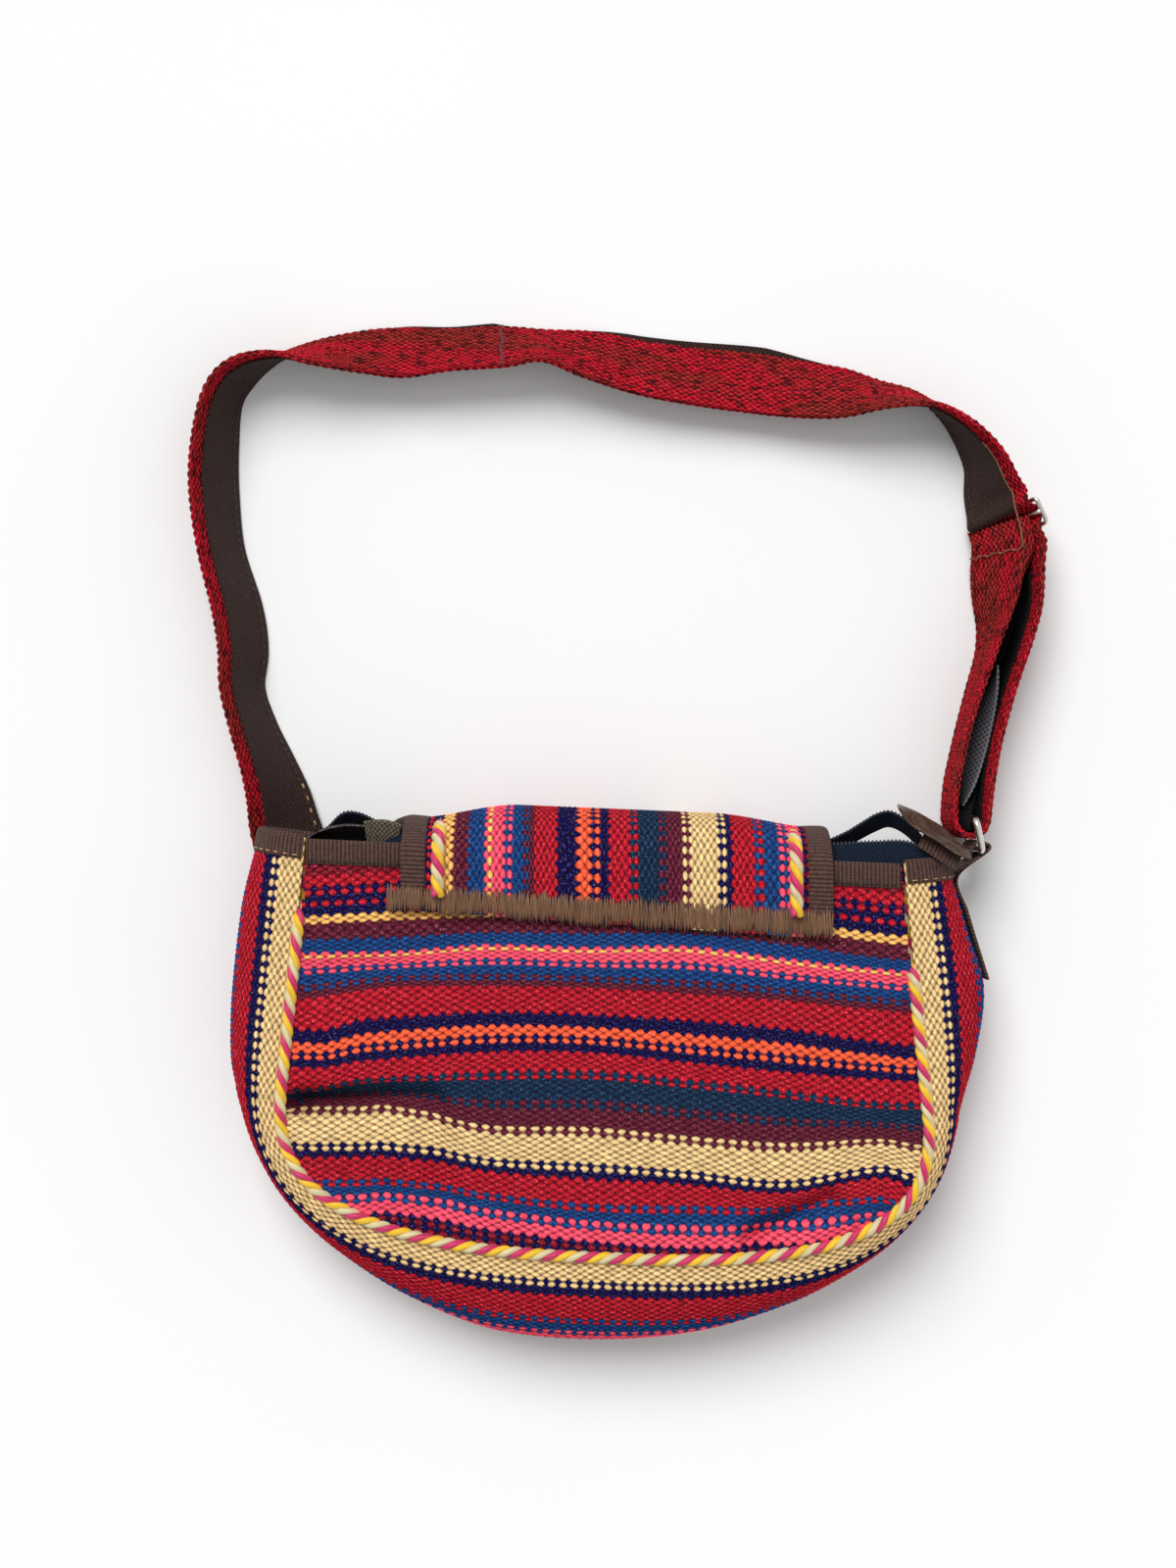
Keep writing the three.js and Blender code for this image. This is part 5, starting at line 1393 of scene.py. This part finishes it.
# %% Dark facing of the doubled part
# Below the slider the strap is faced with this cloth instead of the brown tape. Its near-black colour
# is painted shade of the deep gap between the layers, and it has no gloss.
# Painted shade: the facing's cloth is coloured near black to stand for the deep shade between the layers.
shade_black_cloth = tape_material("facing painted black as shade", "#141214", "#050505", 0.0, weave_sockets)
FACING_FIRST, FACING_LAST = 37.6, 61.5
FACING_LOW, FACING_HIGH = 0.6, 10.0  # how far inside the strap's lower and upper edge it ends
FACING_THICK = 0.8
frames, _, facing_length = strap_frames(FACING_FIRST, FACING_LAST, spacing=2.0)
section = bar(-STRAP_HALF + FACING_LOW, STRAP_HALF - FACING_HIGH, INNER_FACE - FACING_THICK, INNER_FACE)
facing = ribbon("strap_facing", frames, section, 48, shade_black_cloth)


def lying_strip(name, rows, steps, width, thick, count, material):
    """A ribbon along a table of x, y, height of its middle and lean, and its length."""
    x, y, z, lean = spline(np.array(rows, float), np.linspace(0, len(rows) - 1, steps)).T
    frames = lean_frames(np.stack([x, y], axis=1), np.radians(lean), z, 0 * z)
    section = bar(-width / 2, width / 2, -thick / 2, thick / 2)
    return ribbon(name, frames, section, count, material), lengths_along(frames[0])[-1]


GAP_SHADE_ROWS = [  # a dark strip laid in the gap as painted shade: x, y, height of the middle, lean
    (173.8, 104, 5, 62), (172.2, 96, 5, 60), (168.6, 85, 5, 54), (165.4, 74, 6, 46), (162.6, 61, 6, 40),
    (158.8, 46, 8, 28), (157.2, 36, 11, 22), (155.8, 25, 14, 38), (153, 17.5, 22, 30), (151.2, 12, 28, 26),
    (151.2, 7.8, 28, 26),
]
GAP_SHADE_WIDTH = 10.0
# Painted shade: a dark strip lies in the gap where the floor would otherwise show between the layers.
gap_shade_strip, length = lying_strip("strap_gap_shade_strip", GAP_SHADE_ROWS, 90, GAP_SHADE_WIDTH, FACING_THICK, 24, shade_black_cloth)
print("facing", round(facing_length), "mm")

# %% [markdown]
# ## Ring tab and loose ends
#
# A strip of the brown tape runs up the outside of the right gusset and round the ring's nearer bar. At both
# corners of the mouth a loose end of leatherette sticks out: a dull brown one at the right, a shiny black
# one at the left. Beside each lies a scrap of cloth. All are ribbons along short tables, as the strap is.

# %% Ring tab
TAB_WIDTH, TAB_THICK = 26.0, 1.2
TAB_MIDDLE, TAB_STAND_OFF = 21.0, 1.7  # height of its middle, and how far it stands off the gusset
TAB_FROM, TAB_TO = 0.905, 0.985  # shares of the seam between which it lies on the gusset
up_gusset = np.linspace(TAB_FROM, TAB_TO, 4)
tab_line = gusset_point(up_gusset, np.full(4, 0.5), TAB_STAND_OFF)[:, :2] - PLACE[:2]
turn = RING_WIRE + TAPE / 2
angle = np.radians([0, 60, 120, 180])
round_bar = RING_TAB_BAR[:2] + turn * np.stack([np.cos(angle), np.sin(angle)], axis=1)
tab_end = RING_TAB_BAR[:2] + np.array([[-turn - 1, -3]])
tab_table = np.concatenate([tab_line, round_bar, tab_end])
line = spline(tab_table, np.linspace(0, len(tab_table) - 1, 90))
none = np.zeros(len(line))
frames = lean_frames(line, none, none + TAB_MIDDLE, none)
section = bar(-TAB_WIDTH / 2, TAB_WIDTH / 2, -TAB_THICK / 2, TAB_THICK / 2)
ring_tab = ribbon("ring_tab_tape", frames, section, 60, brown_tape)
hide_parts("ring_tab")
print("ring tab", round(lengths_along(line)[-1]), "mm")


# %% Loose ends
# Leatherette: a film with a fine pebbled grain, crumpled, and rubbed lighter in places.
PEBBLES_PER_MM, CRUMPLES_PER_MM = 1.4, 0.16


def leatherette(name, film_code, rubbed_code, roughness):
    """A coated cloth with its film's colour, the colour of rubbed places and its roughness."""
    material, tree = new_material(name)
    place = add_node(tree, "TexCoord").outputs["Object"]
    pebble = add_node(tree, "TexVoronoi", {"Vector": place, "Scale": PEBBLES_PER_MM / MM}).outputs[0]
    crumples = {"Vector": place, "Scale": CRUMPLES_PER_MM / MM, "Detail": 3.0}
    stain = add_node(tree, "TexNoise", crumples).outputs[0]
    film, rubbed = colour(film_code), colour(rubbed_code)
    tone = add_node(tree, "Mix", {0: stain, 6: film, 7: rubbed}, data_type="RGBA").outputs[2]
    creased = add_node(tree, "Bump", {"Strength": 0.9, "Distance": 0.0025, "Height": stain}).outputs[0]
    grain = {"Strength": 0.35, "Distance": 0.0003, "Height": pebble, "Normal": creased}
    bump = add_node(tree, "Bump", grain).outputs[0]
    finish_material(tree, {"Base Color": tone, "Normal": bump, "Roughness": roughness})
    return material


END_FINISH = {
    "tab_end_right": leatherette("brown leatherette", "#2A1C15", "#54402F", 0.36),
    "tab_end_left": leatherette("black leatherette", "#0A0807", "#1C1513", 0.18),
}
LOOSE_ENDS = {  # x, y, height of the middle, lean
    "tab_end_right": [
        (150.5, -2.4, 51, 12), (144.7, 1.2, 50.5, 22), (138.7, 6.3, 49.5, 29), (132.6, 10, 48.5, 30),
        (127, 13.4, 48, 28), (121.3, 18, 48, 8),
    ],
    "tab_end_left": [
        (-124, 0.5, 37, 26), (-118, 3.5, 37, 40), (-110, 5, 38, 52), (-103, 5.4, 38, 48),
        (-96, 4.4, 38, 44),
    ],
}
END_WIDTH, END_THICK = 13.0, 1.0
for name, rows in LOOSE_ENDS.items():
    end, length = lying_strip(name + "_strip", rows, 60, END_WIDTH, END_THICK, 48, END_FINISH[name])
    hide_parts(name)
print("loose ends:", len(LOOSE_ENDS))

# %% Scraps of cloth at the mouth's corners
# Raw lining cloth: undyed, dull and greyish, with an open weave. The other scrap is brown tape.
# Its second colour is painted shade in the open weave's hollows.
raw_cloth = tape_material("raw lining cloth", "#6A6053", "#251F19", 0.0, weave_sockets)
SCRAP_THICK = 0.8
SCRAPS = [  # rows are x, y, height of the middle, lean
    {"name": "mouth_scrap", "width": 14.0, "cloth": raw_cloth,
     "rows": [(-99, 5.5, 42.5, 66), (-92, 6.2, 43, 66), (-85.5, 4.5, 43, 62)]},
    {"name": "tab_end_back", "width": 10.4, "cloth": brown_tape,
     "rows": [(146, -5.5, 49.2, 40), (139, -0.5, 48.5, 46), (131, 4.8, 47.2, 46)]},
]
for scrap in SCRAPS:
    width = scrap["width"]
    piece, length = lying_strip(scrap["name"], scrap["rows"], 24, width, SCRAP_THICK, 40, scrap["cloth"])
print("scraps:", len(SCRAPS))

# %% [markdown]
# ## Zip
#
# The mouth's zip stands open, so only its two navy tapes show, each with teeth along its free edge. A tape
# is a thin sheet between a sewn line and a free line. The teeth are small bevelled blocks, repeated along
# that free line.

# %% Zip tapes
# The tape is a close, dull navy weave, so dark that only its edge shows.
# Its second colour is painted shade between the floats.
zip_tape = tape_material("navy zip tape", "#0E1C2F", "#040911", 0.03, weave_sockets)
ZIP_BACK = [  # x, y and z of the sewn edge, y and z of the free edge
    (-112, -7, 42, -3, 36), (-98, -7, 44, -1, 38), (-84, -7, 49.6, 4, 43), (0, -7, 49.6, 5, 42),
    (95, -7, 49.6, 6.5, 42.5), (112, -7, 49.6, 8, 44), (126, -5, 50, 8.5, 45), (137, -2, 50, 4, 47),
]
ZIP_FRONT = [
    (-118, 1, 20, 3, 28), (-110, 2.5, 18, 10.2, 29), (-103, 2.5, 16, 10.4, 28), (-96, 2.5, 15, 7.5, 27),
    (-88, 2.5, 15, 6, 26), (0, 2.5, 15, 5.5, 26), (95, 2.5, 15, 7.5, 26), (103, 5, 17, 11.5, 27),
    (109, 8.7, 19, 15.6, 28), (115, 12.2, 21, 19.4, 29.5), (121, 14.4, 24, 20.4, 31), (129, 10, 28, 15, 34),
    (137, 0, 34, 6, 39),
]
ZIP_ALONG, ZIP_ACROSS = 150, 12  # points along the tape and steps across it
ZIP_FLOAT, ZIP_YARNS = 1.6, 14


def zip_tape_mesh(name, rows):
    """A tape with its own thickness, and the line of its free edge."""
    table = np.array(rows, float)
    x_line = np.linspace(table[0, 0], table[-1, 0], ZIP_ALONG)
    place = np.interp(x_line, table[:, 0], np.arange(len(table)))
    _, sewn_y, sewn_z, free_y, free_z = spline(table, place).T
    part = np.linspace(0, 1, ZIP_ACROSS + 1)[None, :]
    y = mix(sewn_y[:, None], free_y[:, None], part)
    z = mix(sewn_z[:, None], free_z[:, None], part)
    face = lay(x_line[:, None], y, z)
    away = grid_normals(face) * TAPE / 2
    points = np.concatenate([face + away, (face - away)[:, ::-1], (face + away)[:, :1]], axis=1)
    v = np.concatenate([part[0], part[0, ::-1], part[0, :1]]) * ZIP_YARNS
    uv = np.stack(np.broadcast_arrays((x_line / ZIP_FLOAT)[:, None], v[None, :]), axis=-1)
    return close_shell(grid_mesh(name, points, uv)), face[:, -1], unit(face[:, -1] - face[:, -2])


print("material:", zip_tape.name)

# %% Zip teeth
# Moulded nylon: dark and smooth, with a soft gloss that varies a little.
TOOTH_PITCH = 1.6
TOOTH_LONG, TOOTH_WIDE, TOOTH_HIGH = 0.8, 1.8, 1.5  # along the tape, off its edge and through it
TOOTH_BITE = 0.3  # how far it reaches over the tape
TOOTH_BEVEL = 0.2
CLOUDS_PER_MM = 0.3  # changes of gloss


def zip_teeth(name, edge, outwards):
    """Small bevelled blocks along the free edge."""
    share, _ = even_steps(edge, TOOTH_PITCH)
    place = share * (len(edge) - 1)
    at, out = spline(edge, place), unit(spline(outwards, place))
    ahead = unit(np.gradient(at, axis=0))
    third = np.cross(ahead, out)
    bm = bmesh.new()
    for p, u, v, w in zip(at, ahead, out, third):
        made = bmesh.ops.create_cube(bm, size=1.0)["verts"]
        for vert in made:
            x, y, z = vert.co
            outward = v * (y * TOOTH_WIDE - TOOTH_BITE)
            vert.co = (p + u * x * TOOTH_LONG + outward + w * z * TOOTH_HIGH) * MM
    bevel = {"offset": TOOTH_BEVEL * MM, "segments": 1, "profile": 0.5}
    bmesh.ops.bevel(bm, geom=bm.edges[:], affect="EDGES", material=-1, **bevel)
    bmesh.ops.recalc_face_normals(bm, faces=bm.faces)
    mesh = bpy.data.meshes.new(name)
    bm.to_mesh(mesh)
    bm.free()
    return mesh


nylon, tree = new_material("moulded navy nylon")
place = add_node(tree, "TexCoord").outputs["Object"]
cloud = add_node(tree, "TexNoise", {"Vector": place, "Scale": CLOUDS_PER_MM / MM}).outputs[0]
rough = add_node(tree, "MapRange", {0: cloud, 3: 0.45, 4: 0.65}).outputs[0]
finish_material(tree, {"Base Color": colour("#101C2A"), "Roughness": rough, "IOR": 1.53})
print("material:", nylon.name)

# %% Both sides of the zip
for name, rows in (("zip_tape_back", ZIP_BACK), ("zip_tape_front", ZIP_FRONT)):
    mesh, edge, outwards = zip_tape_mesh(name + "_cloth", rows)
    tape = add_object(name + "_cloth", mesh, [zip_tape])
    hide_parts(name)
    teeth = add_object(name + "_teeth", zip_teeth(name + "_teeth", edge, outwards), [nylon])
print("zip tapes: 2")

# %% [markdown]
# ## Stitches
#
# The flap is sewn down with a wide, dense band of brown thread, and its ends are ragged. Each stitch is a
# thin round bar that arches over the flap's raw edge. Lengths, places and tilts vary a little, with a fixed
# seed, because a perfect comb would look printed.

# %% Satin stitch on the flap
# Polyester sewing thread: smooth, fine and slightly shiny.
SHADES_PER_MM = np.array([0.9, 0.09, 0.09])  # its tone changes from stitch to stitch, little along a stitch


def thread_material(name, hex_code):
    """Sewing thread of one colour."""
    material, tree = new_material(name)
    place = add_node(tree, "TexCoord").outputs["Object"]
    stitch = add_node(tree, "Mapping", {0: place, 3: SHADES_PER_MM / MM}).outputs[0]
    ply = add_node(tree, "TexNoise", {"Vector": stitch, "Scale": 1.0, "Detail": 2.0}).outputs[0]
    shade = add_node(tree, "MapRange", {0: ply, 1: 0.3, 2: 0.7, 3: 0.55, 4: 1.3}).outputs[0]
    base = colour(hex_code)[:3]
    tone = add_node(tree, "VectorMath", {0: base, "Scale": shade}, operation="SCALE").outputs[0]
    finish_material(tree, {"Base Color": tone, "Roughness": 0.6, "Sheen Weight": 0.1})
    return material


brown_thread = thread_material("brown sewing thread", "#745136")
STITCH_PITCH, STITCH_RADIUS = 0.62, 0.36
BAND_FROM, BAND_TO = -88.5, 93.0  # x of its two ends
BAND_LEFT = {"top": -17.2, "bottom": -27.8}  # y of the band at its two ends, in the bag's frame
BAND_RIGHT = {"top": -20.8, "bottom": -33.0}
RAW_EDGE, RAW_OVER = -31.0, 1.2  # y where the flap's raw edge ends, and the drop onto the panel after it
ON_TOP = 55.0  # the flap's upper part lies above this height
STITCH_UP, STITCH_OVER_TAPE, STITCH_DIP = 0.55, 1.2, 1.1  # above the flap, more over tape, down at the ends


def satin_lines():
    """One line for each stitch of the band, with a little disorder."""
    lines = []
    x_line = np.arange(BAND_FROM, BAND_TO, STITCH_PITCH)
    upper = FLAP_FINE[FLAP_FINE[:, 1] > ON_TOP]
    order = np.argsort(upper[:, 0])
    for k, x in enumerate(x_line):
        jitter = rng.normal(0, 1, 4)
        right = (x - x_line[0]) / (x_line[-1] - x_line[0])
        top = mix(BAND_LEFT["top"], BAND_RIGHT["top"], right) + 0.8 * jitter[0] + 0.4 * math.sin(x * 0.7)
        bottom = mix(BAND_LEFT["bottom"], BAND_RIGHT["bottom"], right)
        bottom += 0.7 * jitter[1] + 0.7 * math.sin(x * 0.23)
        tilt = 0.5 * jitter[2] + (0.35 if k % 2 else -0.35)
        part = np.linspace(0, 1, 7)
        y = mix(top, bottom, part)
        on_flap = np.interp(y, upper[order, 0], upper[order, 1])
        on_panel = back_height(np.full(7, x), y)
        beyond = mix(on_flap, on_panel, smooth((RAW_EDGE - y) / RAW_OVER))
        z = np.where(y > RAW_EDGE, on_flap, beyond)
        over_tape = smooth((abs(x - FLAP_X_BACK) - FLAP_HALF + BINDING_WIDTH) / 2)
        lift = STITCH_UP + 0.15 * abs(jitter[3]) + STITCH_OVER_TAPE * over_tape
        at_end = np.abs(part - 0.5) > 0.49
        z = z + lift - STITCH_DIP * at_end
        lines.append(lay(x + tilt * (part - 0.5), y, z))
    return lines


THREAD_SIDES = 6
ALONG_X = np.array([1.0, 0.0, 0.0])
satin_mesh = tubes("flap_satin_stitch", satin_lines(), STITCH_RADIUS, THREAD_SIDES, ALONG_X, taper=True)
satin = add_object("flap_satin_stitch", satin_mesh, [brown_thread])
print("satin stitch:", len(satin.data.polygons), "faces")

# %% Running stitches on the strap
# A running stitch is a row of short dashes that dip at both ends, where the thread goes through the cloth.
ARCH = np.array([-0.8, 0.6, 0.9, 0.6, -0.8])[:, None]  # height along a dash, in radii of the thread
ASKEW = np.array([0.013, 0.017, 0.011])  # keeps the hint off every dash's own direction
STITCH_STEP = 0.25  # how finely the line is followed


def running_stitch(name, line, out, dash, pitch, radius, material):
    """Dashes along a line that lies on the cloth; out points away from the cloth."""
    share, length = even_steps(line, STITCH_STEP)
    place = share * (len(line) - 1)
    fine, away = spline(line, place), unit(spline(out, place))
    step = length / (len(place) - 1)
    dashes = []
    for start in np.arange(0, length - dash, pitch):
        picked = np.linspace(start, start + dash, len(ARCH)) / step
        dashes.append(spline(fine, picked) + spline(away, picked) * (radius * ARCH))
    hint = np.mean(away, axis=0) + ASKEW
    piece = add_object(name, tubes(name, dashes, radius, THREAD_SIDES, hint, taper=True), [material])
    return piece


def strap_line(first, last, along_a, along_b):
    """A line on the strap at a fixed height on its width, and the direction out of its outer face."""
    (at, a, b), _, _ = strap_frames(first, last, spacing=1.0)
    return at + a * along_a + b * along_b, b


dark_thread = thread_material("dark brown thread", "#2C1D18")
tan_thread = thread_material("tan thread", "#B98F5E")
LINING_FACE = INNER_FACE - TAPE
LINING_SEAM, BASE_SEAM = -12.6, -13.4  # places on the strap's width
for name, first, last in (("lining_stitch_left", 0.6, 13.0), ("lining_stitch_right", 28.5, 34.0)):
    line, out = strap_line(first, last, LINING_SEAM, LINING_FACE)
    running_stitch(name, line, -out, dash=2.6, pitch=3.6, radius=0.3, material=dark_thread)
line, out = strap_line(0.7, 3.3, BASE_SEAM, LINING_FACE)
running_stitch("base_stitch", line, -out, dash=2.6, pitch=5.6, radius=0.42, material=tan_thread)
print("strap seams: 3")

# %% Seam across the doubled end and the loose thread
END_ROW = 63.2
END_SEAM_LOW, END_SEAM_HIGH = -15.2, 15.0  # places on the strap's width
END_SEAM_UP = 0.55  # above the strap's face
STITCH_SLANT = -0.22  # along the strap for each step across it
LOOSE_RADIUS = 0.4
at, a, b = (v[0] for v in strap_frames(END_ROW, END_ROW + 0.4, spacing=1.0)[0])
across = np.linspace(END_SEAM_LOW, END_SEAM_HIGH, 20)[:, None]
wander = STITCH_SLANT * across + 0.4 * np.sin(across * 0.9)
line = at + a * across + b * (STRAP_THICK / 2 + END_SEAM_UP) + np.cross(a, b) * wander
outward = np.broadcast_to(b, line.shape)
running_stitch("end_stitch", line, outward, dash=3.4, pitch=3.7, radius=0.38, material=brown_thread)
edge, _ = strap_line(30.6, 34.2, LINING_HIGH + 0.6, LINING_FACE + 0.6)
seam_end = line[-3] + UP * 0.8
loose = np.concatenate([edge[::3], mix(edge[-1], seam_end, np.array([[0.5], [1.0]]))])
loose = spline(loose, np.linspace(0, len(loose) - 1, 60))
thread_mesh = tubes("loose_thread", [loose], LOOSE_RADIUS, THREAD_SIDES, np.array([0.3, 0.2, 1.0]))
thread = add_object("loose_thread", thread_mesh, [brown_thread])
print("loose thread", round(lengths_along(loose)[-1]), "mm")

# %% Seam that joins two lengths of strap
JOIN_ROW = 18.95
JOIN_HALF, JOIN_RADIUS, JOIN_SUNK = 15.6, 0.55, 0.1  # half its length, its thickness, how far it is sunk in
at, a, b = (v[0] for v in strap_frames(JOIN_ROW, JOIN_ROW + 0.4, spacing=1.0)[0])
across = np.linspace(-JOIN_HALF, JOIN_HALF, 24)[:, None]
wander = np.cross(a, b) * 0.5 * np.sin(across * 0.5)
ridge = at + a * across + b * (STRAP_THICK / 2 - JOIN_SUNK) + wander
red_thread = thread_material("red thread", "#4E0D14")
join = add_object("strap_join", tubes("strap_join", [ridge], JOIN_RADIUS, 8, b), [red_thread])
print("join:", len(join.data.polygons), "faces")


# %% Stitches along the bindings
FROM_EDGE, OVER_TAPE = 1.6, 0.15  # how far inside the tape's edge and above its face the thread lies


def binding_stitch(name, frames, first, last, material, pitch):
    """A stitch line along the inner edge of a folded tape, on its outer face."""
    at, a, b = (v[first:last] for v in frames)
    line = at - a * (BINDING_WIDTH - FROM_EDGE) + b * (CLOTH / 2 + TAPE + OVER_TAPE)
    return running_stitch(name, line, b, dash=2.2, pitch=pitch, radius=0.3, material=material)


by_name = dict(BINDINGS)
binding_stitch("back_binding_stitch", by_name["back_binding"], 0, MOUTH_STEPS, dark_thread, 3.0)
binding_stitch("left_end_stitch", by_name["gusset_binding_left"], 2, 40, tan_thread, 4.4)
binding_stitch("right_end_stitch", by_name["gusset_binding_right"], 2, 40, tan_thread, 5.2)
print("binding seams: 3")
